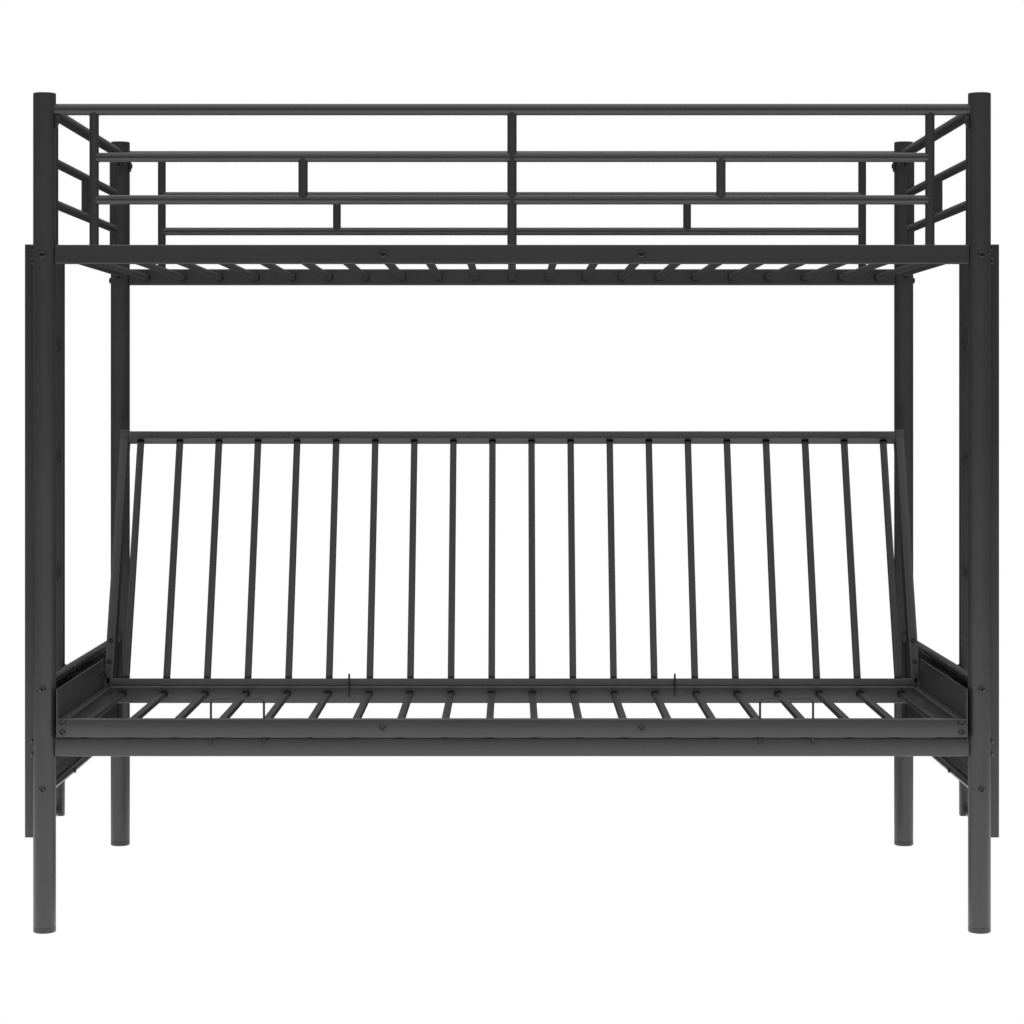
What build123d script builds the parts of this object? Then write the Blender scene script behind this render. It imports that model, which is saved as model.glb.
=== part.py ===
from build123d import *
import math
import os

os.makedirs("parts", exist_ok=True)

# A metal bunk bed with a sofa below that folds flat into a second bed.
# Millimetres. X runs along the bed, Y from front (-) to back (+), Z up from the floor.
# The origin is on the floor, in the middle of the four posts.

# Whole frame
height = 1777
post_x = 990
post_y = 520
post_outside = 48
post_wall = 1.0
cope = 0.1
overrun = 60

# Feet and caps of the posts
foot_height = 12
foot_round = 4
cap_rise = 6
cap_round = 3
plug_depth = 22
plug_clearance = 0.15

# Upper deck: how far its rails and slats lie below the posts' tops and the rails' top
guard_height = 322
rail_height = 41
rail_depth = 20
tube_wall = 1.0
tube_corner = 2.5
slat_width = 16
slat_height = 12
slat_wall = 0.7
slat_corner = 1.6
slat_drop = 16
deck_slat_count = 21
deck_slat_inset = 68
end_rail_drop = 18
end_rail_width = 20
end_rail_height = 25
end_tab_drop = 15
end_tab_thickness = 3

# Guards: heights as shares of the way from the deck to the guard's rail
guard_rail_drop = 35.6
guard_rail_outside = 24.5
guard_mid_share = 0.6463
guard_low_share = 0.3324
guard_bar_outside = 20
guard_wall = 0.9
guard_end_inset = 105
guard_short_share = 0.5
end_bar_drop = 32
end_bar_outside = 25
end_upright_inset = 107
guard_bolt_drop = 26
end_bolt_drop = 29
guard_tab_width = 22
guard_tab_thickness = 2.2
guard_tab_foot = 14

# Ladders: heights of the rungs as shares of the stile
ladder_bottom = 195
ladder_over = 1
stile_width = 35
stile_depth = 25
stile_corner = 4
ladder_gap = 3
boss_radius = 8
ladder_front_gap = 26
ladder_reach = 300
rung_outside = 19
rung_shares = (0.008, 0.216, 0.427, 0.628, 0.828)

# Seat frame
seat_top = 453.5
seat_gap = 4
seat_overhang = 20
seat_height = 40
seat_depth = 20
seat_inside_depth = 575
seat_tube_width = 20
plate_thickness = 3
plate_rise = 62.5
seat_slat_count = 20
seat_slat_inset = 50
seat_slat_drop = 12
rear_rail_inset = 16

# Stretchers under the seat
stretcher_gap = 1.5
stretcher_height = 40
stretcher_depth = 20
rear_stretcher_drop = 10

# End panels below the deck
panel_tube_outside = 19
panel_top_rise = 10
panel_low_drop = 76.5
end_strip_width = 20
end_strip_thickness = 3
sheet_thickness = 1.2

# Backrest frame
lean = 23.24
hinge_back = 19
hinge_drop = 3.5
back_rail_height = 20
back_depth = 40
back_face_drop = 2.1
back_low_start = 2.9
back_rest_reach = 7
back_side_width = 22
back_bar_width = 16
back_bar_depth = 16
back_bar_recess = 10
back_cap_rise = 3.5
back_low_inset = 14

# Hinge
eye_radius = 12.5
pin_radius = 5
pin_clearance = 0.1
pin_head_radius = 7.5
pin_head_height = 3
ear_thickness = 3
ear_reach = 132
ear_depth = 20
flange_start = 40
flange_width = 15.5
washer_gap = 0.05

# Slide
travel = 200
block_length = 60
block_height = 24
block_drop = 27
block_clearance = 0.5
rivet_shares = (0.25, 0.75)
rivet_head = 1.5
stop_clearance = 0.3
track_wall = 1.5
track_reach = 20
glide_length = 16
glide_clearance = 0.3
rest_pad_x = 600
rest_pad_length = 60
rest_clearance = 0.5

# Wires
stop_wire = 5
stop_inner_x = 524
stop_outer_x = 636
stop_rise = 44.5
stop_tail = 15
stop_bend = 12
stop_set_back = 6
stop_hole_clearance = 0.3
loop_wire = 4
loop_x = 382
loop_rise = 30.5
loop_tail = 24

# Bolts
shank_radius = 3
hole_clearance = 0.2
head_radius = 7.5
head_height = 4
head_dome = 2.2
socket_across = 5.5
socket_depth = 2.2
pair_half = 14
rear_bolt_drop = 8.5
bolt_reach = 24
short_bolt_length = 14
tab_bolt_drop = 4
panel_bolt_drop = 9.5
low_bolt_rise = 8.5
rail_bolt_x = 273
seat_bolt_half = 9.5
ladder_bolt_radius = 6
back_bolt_low = 64
back_bolt_high = 116

post_radius = post_outside / 2
post_inner_x = post_x - post_radius

deck_top = height - guard_height
deck_middle = deck_top - rail_height / 2
deck_slat_pitch = 2 * (post_x - deck_slat_inset) / (deck_slat_count - 1)
end_rail_bottom = deck_top - end_rail_drop

guard_rail_z = height - guard_rail_drop
guard_mid_z = deck_top + (guard_rail_z - deck_top) * guard_mid_share
guard_low_z = deck_top + (guard_rail_z - deck_top) * guard_low_share
guard_end_x = post_x - guard_end_inset
guard_short_x = guard_end_x * guard_short_share
guard_bolt_z = guard_rail_z - guard_bolt_drop
end_bar_z = height - end_bar_drop
end_upright_y = post_y - end_upright_inset
end_bolt_z = end_bar_z - end_bolt_drop

ladder_top = deck_top + ladder_over
rung_heights = [ladder_bottom + (ladder_top - ladder_bottom) * share for share in rung_shares]

seat_bottom = seat_top - seat_height
seat_front = post_y + seat_overhang
seat_half = post_inner_x - seat_gap
seat_slat_pitch = 2 * (seat_half - seat_slat_inset) / (seat_slat_count - 1)
plate_inner = seat_half - plate_thickness
plate_top = seat_top + plate_rise
front_rail_back = seat_depth - seat_front
rear_rail_front = front_rail_back + seat_inside_depth
rear_rail_back = rear_rail_front + seat_depth
rear_rail_half = seat_half - rear_rail_inset

stretcher_bottom = seat_bottom - stretcher_gap - stretcher_height
stretcher_top = stretcher_bottom + stretcher_height
stretcher_middle = stretcher_bottom + stretcher_height / 2
stretcher_middles = {"front": stretcher_middle, "rear": stretcher_middle - rear_stretcher_drop}
rear_stretcher_top = stretcher_top - rear_stretcher_drop

end_outer_x = post_x + end_rail_width / 2
panel_x = end_outer_x - panel_tube_outside / 2
panel_top_z = plate_top + panel_top_rise
panel_low_z = stretcher_bottom - panel_low_drop
panel_heights = (panel_low_z, panel_top_z)
post_bolt_heights = (
    end_rail_bottom - tab_bolt_drop,
    panel_top_z - panel_bolt_drop,
    panel_low_z + low_bolt_rise,
)

hinge_y = rear_rail_front + hinge_back
hinge_z = seat_top - hinge_drop
ear_inner = plate_inner - ear_thickness - 2 * washer_gap - ear_thickness / 2
back_half = seat_half
back_low_half = back_half - back_low_inset
back_face = -back_face_drop
back_rear = back_face - back_depth
back_top_end = post_y + back_rest_reach - hinge_y + travel
back_top_start = back_top_end - back_rail_height
back_low_end = back_low_start + back_rail_height
block_z = plate_top - block_drop
stop_top = seat_top + stop_rise
stop_bottom = seat_bottom - stop_tail
loop_top = seat_top + loop_rise
loop_bottom = seat_top - loop_tail

lean_angle = math.radians(lean)
up_back = Vector(0, math.sin(lean_angle), math.cos(lean_angle))
out_front = Vector(0, -math.cos(lean_angle), math.sin(lean_angle))
hinge = Vector(0, hinge_y, hinge_z)

sides = {"left": -1, "right": 1}
ends = {"front": -1, "rear": 1}
corners = [(x, y) for x in (-post_x, post_x) for y in (-post_y, post_y)]


def save(builder, name):
    """Labels a finished piece and writes it."""
    builder.part.label = name
    export_step(builder.part, f"parts/{name}.step")


def along_x(x):
    """Plane square to the bed's length, whose own axes are Y and Z."""
    return Plane.YZ.offset(x)


def along_y(y):
    """Plane facing the front, whose own axes are X and Z."""
    return Plane.XZ.offset(-y)


def across_back(x):
    """Plane square to X on the hinge, with axes up the backrest and out of its front."""
    return Plane(origin=(x, hinge_y, hinge_z), x_dir=up_back, z_dir=(1, 0, 0))


def up_backrest(distance):
    """Plane across the backrest, that far up from the hinge; its own Y points backwards."""
    return Plane(origin=hinge + up_back * distance, x_dir=(1, 0, 0), z_dir=up_back)


def ring(plane, places, outside, wall):
    """Section of round tubes at the given places."""
    with BuildSketch(plane) as profile:
        with Locations(*places):
            Circle(outside / 2)
            Circle(outside / 2 - wall, mode=Mode.SUBTRACT)
    return profile.sketch


def disc(plane, places, radius):
    """Round section, for pins, holes and copes."""
    with BuildSketch(plane) as profile:
        with Locations(*places):
            Circle(radius)
    return profile.sketch


def box_ring(plane, places, width, depth, wall, corner):
    """Section of rectangular tubes with rounded corners."""
    with BuildSketch(plane) as profile:
        with Locations(*places):
            RectangleRounded(width, depth, corner)
            RectangleRounded(width - 2 * wall, depth - 2 * wall, corner - wall, mode=Mode.SUBTRACT)
    return profile.sketch


def slab(plane, places, width, depth):
    """Plain rectangular section."""
    with BuildSketch(plane) as profile:
        with Locations(*places):
            Rectangle(width, depth)
    return profile.sketch


def cope_to_posts():
    """Cuts the ends of what is being built to the round of the four posts."""
    extrude(disc(Plane.XY, corners, post_radius + cope), amount=height, mode=Mode.SUBTRACT)


def row(count, pitch):
    """Places of a row of like pieces, even about zero."""
    return [(index - (count - 1) / 2) * pitch for index in range(count)]


# Posts: round tubes with bolt holes through both walls.
hole_radius = shank_radius + hole_clearance
rail_bolt_steps = {"front": (-pair_half, pair_half), "rear": (-rear_bolt_drop,)}
rail_bolt_heights = {
    end: [middle + step for middle in (deck_middle, stretcher_middles[end]) for step in rail_bolt_steps[end]]
    for end in ends
}
post_length = height - cap_rise - foot_height
for side, way in sides.items():
    for end, back in ends.items():
        x, y = way * post_x, back * post_y
        with BuildPart() as post:
            extrude(ring(Plane.XY.offset(foot_height), [(x, y)], post_outside, post_wall), amount=post_length)
            extrude(
                disc(along_x(x - post_outside), [(y, z) for z in rail_bolt_heights[end]], hole_radius),
                amount=2 * post_outside,
                mode=Mode.SUBTRACT,
            )
            extrude(
                disc(along_y(y + post_outside), [(x, z) for z in post_bolt_heights], hole_radius),
                amount=2 * post_outside,
                mode=Mode.SUBTRACT,
            )
            extrude(
                disc(along_x(min(0, x)), [(y, guard_bolt_z)], hole_radius),
                amount=post_x,
                mode=Mode.SUBTRACT,
            )
            extrude(
                disc(along_y(max(0, y)), [(x, end_bolt_z)], hole_radius),
                amount=post_y,
                mode=Mode.SUBTRACT,
            )
        save(post, f"post_{end}_{side}")

# Plastic feet and caps: a rounded disc with a plug pressed into the tube.
plug_radius = post_radius - post_wall - plug_clearance
with BuildPart() as post_feet:
    extrude(disc(Plane.XY, corners, post_radius), amount=foot_height)
    fillet(post_feet.edges().group_by(Axis.Z)[0], foot_round)
    extrude(disc(Plane.XY.offset(foot_height), corners, plug_radius), amount=plug_depth)
save(post_feet, "post_feet")

with BuildPart() as post_caps:
    extrude(disc(Plane.XY.offset(height - cap_rise), corners, post_radius), amount=cap_rise)
    fillet(post_caps.edges().group_by(Axis.Z)[-1], cap_round)
    extrude(disc(Plane.XY.offset(height - cap_rise - plug_depth), corners, plug_radius), amount=plug_depth)
save(post_caps, "post_caps")

# Upper deck: long rails, end rails with a tab at each post, and flat slats.
for end, way in ends.items():
    y = way * post_y
    with BuildPart() as deck_rail:
        extrude(
            box_ring(along_x(-post_x), [(y, deck_middle)], rail_depth, rail_height, tube_wall, tube_corner),
            amount=2 * post_x,
        )
        cope_to_posts()
        bolt_places = [(-rail_bolt_x, deck_middle), (rail_bolt_x, deck_middle)]
        extrude(
            disc(along_y(y + rail_depth), bolt_places, hole_radius),
            amount=2 * rail_depth,
            mode=Mode.SUBTRACT,
        )
    save(deck_rail, f"deck_rail_{end}")

deck_slat_z = deck_top - slat_drop - slat_height / 2
deck_slat_half = post_y - rail_depth / 2
with BuildPart() as deck_slats:
    places = [(x, deck_slat_z) for x in row(deck_slat_count, deck_slat_pitch)]
    extrude(
        box_ring(along_y(deck_slat_half), places, slat_width, slat_height, slat_wall, slat_corner),
        amount=2 * deck_slat_half,
    )
save(deck_slats, "deck_slats")

end_rail_middle = end_rail_bottom + end_rail_height / 2
tab_front = post_y - post_radius - cope
tab_plans = (tab_front, end_tab_thickness - tab_front)
ladder_bolt_y = [
    ladder_front_gap + stile_depth / 2 - post_y,
    ladder_front_gap + ladder_reach - stile_depth / 2 - post_y,
]
for side, way in sides.items():
    with BuildPart() as end_rail:
        extrude(
            box_ring(
                along_y(post_y),
                [(way * post_x, end_rail_middle)],
                end_rail_width,
                end_rail_height,
                tube_wall,
                tube_corner,
            ),
            amount=2 * post_y,
        )
        for y in tab_plans:
            extrude(
                slab(
                    along_y(y),
                    [(way * post_x, end_rail_bottom - end_tab_drop / 2 + tube_wall / 2)],
                    end_rail_width,
                    end_tab_drop + tube_wall,
                ),
                amount=end_tab_thickness,
            )
        cope_to_posts()
        extrude(
            disc(along_y(post_y), [(way * post_x, post_bolt_heights[0])], hole_radius),
            amount=2 * post_y,
            mode=Mode.SUBTRACT,
        )
        extrude(
            disc(
                along_x(min(0, way * (post_x + overrun))),
                [(y, end_rail_middle) for y in ladder_bolt_y],
                hole_radius,
            ),
            amount=post_x + overrun,
            mode=Mode.SUBTRACT,
        )
    save(end_rail, f"deck_end_rail_{side}")


# Long guards: a top rail between the posts, two bars, three uprights and two short uprights,
# every tube cut round the one it meets.
bar_hug = guard_bar_outside / 2 + cope
rail_hug = guard_rail_outside / 2 + cope
for end, way in ends.items():
    y = way * post_y
    main_places = [(x, y) for x in (-guard_end_x, 0, guard_end_x)]
    short_places = [(x, y) for x in (-guard_short_x, guard_short_x)]
    with BuildPart() as guard:
        extrude(
            ring(Plane.XY.offset(guard_low_z), short_places, guard_bar_outside, guard_wall),
            amount=guard_mid_z - guard_low_z,
        )
        extrude(
            disc(along_x(-guard_end_x), [(y, guard_low_z), (y, guard_mid_z)], bar_hug),
            amount=2 * guard_end_x,
            mode=Mode.SUBTRACT,
        )
        extrude(
            ring(
                along_x(-guard_end_x),
                [(y, guard_low_z), (y, guard_mid_z)],
                guard_bar_outside,
                guard_wall,
            ),
            amount=2 * guard_end_x,
        )
        extrude(disc(Plane.XY, main_places, bar_hug), amount=height, mode=Mode.SUBTRACT)
        extrude(
            ring(Plane.XY.offset(deck_top), main_places, guard_bar_outside, guard_wall),
            amount=guard_rail_z - deck_top,
        )
        extrude(
            disc(along_x(-post_x), [(y, guard_rail_z)], rail_hug),
            amount=2 * post_x,
            mode=Mode.SUBTRACT,
        )
        extrude(
            ring(along_x(-post_x), [(y, guard_rail_z)], guard_rail_outside, guard_wall),
            amount=2 * post_x,
        )
        cope_to_posts()
    save(guard, f"guard_{end}")

# Tabs under the ends of the guards' top rails, bolted to the inner sides of the posts.
long_tab_top = guard_rail_z - guard_rail_outside / 2 - cope
long_tab_height = long_tab_top - guard_bolt_z + guard_tab_foot
end_tab_top = end_bar_z - end_bar_outside / 2 - cope
end_tab_height = end_tab_top - end_bolt_z + guard_tab_foot
tab_inner_x = post_inner_x - cope - guard_tab_thickness
tab_inner_y = tab_front - guard_tab_thickness
with BuildPart() as guard_tabs:
    for start in (-post_inner_x + cope, tab_inner_x):
        places = [(y, long_tab_top - long_tab_height / 2) for y in (-post_y, post_y)]
        extrude(slab(along_x(start), places, guard_tab_width, long_tab_height), amount=guard_tab_thickness)
        extrude(
            disc(along_x(start), [(-post_y, guard_bolt_z), (post_y, guard_bolt_z)], hole_radius),
            amount=guard_tab_thickness,
            mode=Mode.SUBTRACT,
        )
    for start in (tab_front, -tab_inner_y):
        places = [(x, end_tab_top - end_tab_height / 2) for x in (-post_x, post_x)]
        extrude(slab(along_y(start), places, guard_tab_width, end_tab_height), amount=guard_tab_thickness)
        extrude(
            disc(along_y(start), [(-post_x, end_bolt_z), (post_x, end_bolt_z)], hole_radius),
            amount=guard_tab_thickness,
            mode=Mode.SUBTRACT,
        )
save(guard_tabs, "guard_tabs")

# End guards: a top bar between the posts, two uprights on the end rail, two bars and a short upright.
end_rail_top = end_rail_bottom + end_rail_height
end_hug = end_bar_outside / 2 + cope
for side, way in sides.items():
    x = way * post_x
    main_places = [(x, -end_upright_y), (x, end_upright_y)]
    with BuildPart() as end_guard:
        extrude(
            ring(Plane.XY.offset(guard_low_z), [(x, 0)], guard_bar_outside, guard_wall),
            amount=guard_mid_z - guard_low_z,
        )
        extrude(
            disc(along_y(end_upright_y), [(x, guard_low_z), (x, guard_mid_z)], bar_hug),
            amount=2 * end_upright_y,
            mode=Mode.SUBTRACT,
        )
        extrude(
            ring(
                along_y(end_upright_y),
                [(x, guard_low_z), (x, guard_mid_z)],
                guard_bar_outside,
                guard_wall,
            ),
            amount=2 * end_upright_y,
        )
        extrude(disc(Plane.XY, main_places, bar_hug), amount=height, mode=Mode.SUBTRACT)
        extrude(
            ring(Plane.XY.offset(end_rail_top), main_places, guard_bar_outside, guard_wall),
            amount=end_bar_z - end_rail_top,
        )
        extrude(disc(along_y(post_y), [(x, end_bar_z)], end_hug), amount=2 * post_y, mode=Mode.SUBTRACT)
        extrude(ring(along_y(post_y), [(x, end_bar_z)], end_bar_outside, guard_wall), amount=2 * post_y)
        cope_to_posts()
    save(end_guard, f"end_guard_{side}")

# Ladders: two upright rectangular stiles outside the posts, joined by round rungs,
# with a flat boss at each bolt that keeps the stile off the end rails.
stile_x = end_outer_x + ladder_gap + stile_width / 2
stile_front = ladder_front_gap - post_y
stile_rear = stile_front + ladder_reach - stile_depth
for side, way in sides.items():
    x = way * stile_x
    stile_places = [(x, stile_front + stile_depth / 2), (x, stile_rear + stile_depth / 2)]
    ladder_bolt_places = [(y, z) for y in ladder_bolt_y for z in [end_rail_middle, *panel_heights]]
    boss_start = min(way * (end_outer_x + cope), way * (end_outer_x + ladder_gap))
    with BuildPart() as ladder:
        extrude(
            box_ring(
                Plane.XY.offset(ladder_bottom),
                stile_places,
                stile_width,
                stile_depth,
                tube_wall,
                stile_corner,
            ),
            amount=ladder_top - ladder_bottom,
        )
        extrude(
            ring(along_y(stile_rear - cope), [(x, z) for z in rung_heights], rung_outside, guard_wall),
            amount=stile_rear - stile_front - stile_depth - 2 * cope,
        )
        extrude(disc(along_x(boss_start), ladder_bolt_places, boss_radius), amount=ladder_gap - cope)
        extrude(
            disc(along_x(min(0, way * stile_x)), ladder_bolt_places, hole_radius),
            amount=stile_x,
            mode=Mode.SUBTRACT,
        )
    save(ladder, f"ladder_{side}")

# End panels: round tubes at top and bottom and a flat strip at each end make a frame,
# bolted to the posts through the strips and filled with a steel sheet.
strip_plans = (tab_front, end_strip_thickness - tab_front)
panel_reach = tab_front - end_strip_thickness - cope
strip_height = panel_top_z - panel_low_z + panel_tube_outside
sheet_bottom = panel_low_z + panel_tube_outside / 2 + cope
sheet_top = panel_top_z - panel_tube_outside / 2 - cope
for side, way in sides.items():
    x = way * panel_x
    with BuildPart() as panel_frame:
        for y in strip_plans:
            extrude(
                slab(along_y(y), [(x, (panel_top_z + panel_low_z) / 2)], end_strip_width, strip_height),
                amount=end_strip_thickness,
            )
            extrude(
                disc(along_y(y), [(way * post_x, z) for z in post_bolt_heights[1:]], hole_radius),
                amount=end_strip_thickness,
                mode=Mode.SUBTRACT,
            )
        extrude(
            ring(along_y(panel_reach), [(x, z) for z in panel_heights], panel_tube_outside, guard_wall),
            amount=2 * panel_reach,
        )
        extrude(
            disc(
                along_x(min(0, way * (post_x + overrun))),
                [(y, z) for y in ladder_bolt_y for z in panel_heights],
                hole_radius,
            ),
            amount=post_x + overrun,
            mode=Mode.SUBTRACT,
        )
    save(panel_frame, f"panel_frame_{side}")

    with BuildPart() as panel_sheet:
        extrude(
            slab(
                along_x(x - sheet_thickness / 2),
                [(0, (sheet_top + sheet_bottom) / 2)],
                2 * panel_reach,
                sheet_top - sheet_bottom,
            ),
            amount=sheet_thickness,
        )
    save(panel_sheet, f"panel_sheet_{side}")

# Stretchers between the posts under the seat, front and rear.
for end, way in ends.items():
    with BuildPart() as stretcher:
        extrude(
            box_ring(
                along_x(-post_x),
                [(way * post_y, stretcher_middles[end])],
                stretcher_depth,
                stretcher_height,
                tube_wall,
                tube_corner,
            ),
            amount=2 * post_x,
        )
        cope_to_posts()
    save(stretcher, f"stretcher_{end}")

# Glide pads on the front stretcher, under the seat's side rails.
side_tube_x = plate_inner - seat_tube_width / 2
glide_top = seat_bottom - glide_clearance
with BuildPart() as glide_pads:
    extrude(
        slab(
            Plane.XY.offset(stretcher_top),
            [(-side_tube_x, -post_y), (side_tube_x, -post_y)],
            glide_length,
            stretcher_depth,
        ),
        amount=glide_top - stretcher_top,
    )
save(glide_pads, "glide_pads")

# Rest pads on the rear stretcher, which carry the backrest when it lies flat.
flat_underside = hinge_z + back_rear
with BuildPart() as rest_pads:
    extrude(
        slab(
            Plane.XY.offset(rear_stretcher_top),
            [(-rest_pad_x, post_y), (rest_pad_x, post_y)],
            rest_pad_length,
            stretcher_depth,
        ),
        amount=flat_underside - rest_clearance - rear_stretcher_top,
    )
save(rest_pads, "rest_pads")

# Slide tracks: a channel on each end panel that the seat's block runs in, closed at both ends.
block_back = rear_rail_back + block_clearance
block_front = block_back - block_length
track_outer = panel_x - sheet_thickness / 2
block_outer = track_outer - track_wall - block_clearance
track_low = block_front - travel - stop_clearance - track_wall
track_high = block_back + stop_clearance + track_wall
track_height = block_height + 2 * block_clearance + 2 * track_wall
track_inner = track_outer - track_reach
track_place = ((track_low + track_high) / 2, block_z)
track_length = track_high - track_low
for side, way in sides.items():
    start = min(way * track_inner, way * track_outer)
    groove = min(way * (track_inner - overrun), way * (track_outer - track_wall))
    with BuildPart() as track:
        extrude(slab(along_x(start), [track_place], track_length, track_height), amount=track_reach)
        extrude(
            slab(
                along_x(groove),
                [track_place],
                track_length - 2 * track_wall,
                track_height - 2 * track_wall,
            ),
            amount=track_reach - track_wall + overrun,
            mode=Mode.SUBTRACT,
        )
    save(track, f"slide_track_{side}")

# Seat frame: the front rail has the holes for the mattress stops and the corner bolts.
seat_middle = seat_bottom + seat_height / 2
stop_y = stop_set_back - seat_front
stop_places = [(way * x, stop_y) for way in (-1, 1) for x in (stop_inner_x, stop_outer_x)]
seat_bolt_steps = (-seat_bolt_half, seat_bolt_half)
corner_places = [(way * side_tube_x, seat_middle + step) for way in (-1, 1) for step in seat_bolt_steps]
seat_bolt_places = [*corner_places, (-rail_bolt_x, seat_middle), (rail_bolt_x, seat_middle)]
with BuildPart() as seat_front_rail:
    extrude(
        box_ring(
            along_x(-plate_inner),
            [(front_rail_back - seat_depth / 2, seat_middle)],
            seat_depth,
            seat_height,
            tube_wall,
            tube_corner,
        ),
        amount=2 * plate_inner,
    )
    extrude(
        disc(Plane.XY, stop_places, stop_wire / 2 + stop_hole_clearance),
        amount=height,
        mode=Mode.SUBTRACT,
    )
    extrude(
        disc(along_y(front_rail_back), seat_bolt_places, hole_radius),
        amount=seat_depth,
        mode=Mode.SUBTRACT,
    )
save(seat_front_rail, "seat_front_rail")

with BuildPart() as seat_rear_rail:
    extrude(
        box_ring(
            along_x(-rear_rail_half),
            [(rear_rail_front + seat_depth / 2, seat_middle)],
            seat_depth,
            seat_height,
            tube_wall,
            tube_corner,
        ),
        amount=2 * rear_rail_half,
    )
save(seat_rear_rail, "seat_rear_rail")

seat_slat_z = seat_top - seat_slat_drop - slat_height / 2
with BuildPart() as seat_slats:
    places = [(x, seat_slat_z) for x in row(seat_slat_count, seat_slat_pitch)]
    extrude(
        box_ring(along_y(rear_rail_front), places, slat_width, slat_height, slat_wall, slat_corner),
        amount=seat_inside_depth,
    )
save(seat_slats, "seat_slats")

# Seat sides: a tube between the rails and a tall steel plate outside it with the hinge eye.
rivet_places = [(block_front + block_length * share, block_z) for share in rivet_shares]
for side, way in sides.items():
    with BuildPart() as seat_side_tube:
        extrude(
            box_ring(
                along_y(rear_rail_front),
                [(way * side_tube_x, seat_middle)],
                seat_tube_width,
                seat_height,
                tube_wall,
                tube_corner,
            ),
            amount=seat_inside_depth,
        )
    save(seat_side_tube, f"seat_side_tube_{side}")

    plate_start = min(way * plate_inner, way * seat_half)
    plate_front = cope - seat_front
    plate_length = block_back - plate_front
    with BuildPart() as seat_side_plate:
        with BuildSketch(along_x(plate_start)):
            with Locations(((plate_front + block_back) / 2, (seat_bottom + plate_top) / 2)):
                Rectangle(plate_length, plate_top - seat_bottom)
            with Locations((hinge_y, hinge_z)):
                Circle(eye_radius)
                Circle(pin_radius, mode=Mode.SUBTRACT)
            with Locations(*rivet_places):
                Circle(shank_radius, mode=Mode.SUBTRACT)
        extrude(amount=plate_thickness)
    save(seat_side_plate, f"seat_side_plate_{side}")

    block_start = min(way * seat_half, way * block_outer)
    block_place = ((block_front + block_back) / 2, block_z)
    with BuildPart() as slide_block:
        extrude(
            slab(along_x(block_start), [block_place], block_length, block_height),
            amount=block_outer - seat_half,
        )
        extrude(
            disc(along_x(block_start), rivet_places, shank_radius),
            amount=block_outer - seat_half,
            mode=Mode.SUBTRACT,
        )
    save(slide_block, f"slide_block_{side}")

# Mattress stops: round wire bent to an upside-down U, dropped through the front rail.
stop_middle = (stop_inner_x + stop_outer_x) / 2
with BuildPart() as mattress_stops:
    for way in (-1, 1):
        with BuildLine() as stop_path:
            FilletPolyline(
                (way * stop_inner_x, stop_y, stop_bottom),
                (way * stop_inner_x, stop_y, stop_top - stop_wire / 2),
                (way * stop_outer_x, stop_y, stop_top - stop_wire / 2),
                (way * stop_outer_x, stop_y, stop_bottom),
                radius=stop_bend,
            )
        section = disc(Plane.XY.offset(stop_bottom), [(way * stop_inner_x, stop_y)], stop_wire / 2)
        sweep(section, path=stop_path.wire())
save(mattress_stops, "mattress_stops")

# Wire loops on the rear rail: a leg on the rail's front face, bent over and down onto its top.
loop_front = rear_rail_front - loop_wire / 2 - cope
loop_radius = (seat_depth / 2 + loop_wire / 2 + cope) / 2
loop_start = loop_top - loop_radius - loop_wire / 2
with BuildPart() as wire_loops:
    for x in (-loop_x, loop_x):
        with BuildLine() as loop_path:
            Line((x, loop_front, loop_bottom), (x, loop_front, loop_start))
            ThreePointArc(
                (x, loop_front, loop_start),
                (x, loop_front + loop_radius, loop_start + loop_radius),
                (x, loop_front + 2 * loop_radius, loop_start),
            )
            Line(
                (x, loop_front + 2 * loop_radius, loop_start),
                (x, loop_front + 2 * loop_radius, seat_top),
            )
        section = disc(Plane.XY.offset(loop_bottom), [(x, loop_front)], loop_wire / 2)
        sweep(section, path=loop_path.wire())
save(wire_loops, "wire_loops")

# Hinge pins through the seat's side plates, with a washer between plate and ear.
ear_outer = ear_inner + ear_thickness
pin_inner = ear_inner - pin_head_height - washer_gap
pin_outer = seat_half + pin_head_height
with BuildPart() as hinge_pins:
    for way in (-1, 1):
        shaft_start = min(way * pin_inner, way * pin_outer)
        extrude(disc(along_x(shaft_start), [(hinge_y, hinge_z)], pin_radius), amount=pin_outer - pin_inner)
        for low, high in ((pin_inner, ear_inner - washer_gap), (seat_half, pin_outer)):
            head_start = min(way * low, way * high)
            extrude(disc(along_x(head_start), [(hinge_y, hinge_z)], pin_head_radius), amount=high - low)
save(hinge_pins, "hinge_pins")

with BuildPart() as hinge_washers:
    for way in (-1, 1):
        low, high = ear_outer + washer_gap, plate_inner - washer_gap
        start = min(way * low, way * high)
        extrude(
            ring(
                along_x(start),
                [(hinge_y, hinge_z)],
                2 * eye_radius,
                eye_radius - pin_radius - pin_clearance,
            ),
            amount=high - low,
        )
save(hinge_washers, "hinge_washers")

# Rivets that hold the slide blocks to the plates.
with BuildPart() as block_rivets:
    for way in (-1, 1):
        shank_start = min(way * plate_inner, way * block_outer)
        extrude(disc(along_x(shank_start), rivet_places, shank_radius), amount=block_outer - plate_inner)
        head_start = min(way * plate_inner, way * (plate_inner - rivet_head))
        extrude(disc(along_x(head_start), rivet_places, 2 * shank_radius), amount=rivet_head)
save(block_rivets, "block_rivets")

# Backrest frame: rails square to the lean, side tubes, and flat bars set back from its front.
back_middle = back_face - back_depth / 2
for name, start, half in (
    ("backrest_bottom_rail", back_low_start, back_low_half),
    ("backrest_top_rail", back_top_start, back_half - back_side_width),
):
    with BuildPart() as back_rail:
        extrude(
            box_ring(
                across_back(-half),
                [(start + back_rail_height / 2, back_middle)],
                back_rail_height,
                back_depth,
                tube_wall,
                tube_corner,
            ),
            amount=2 * half,
        )
    save(back_rail, name)

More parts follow.
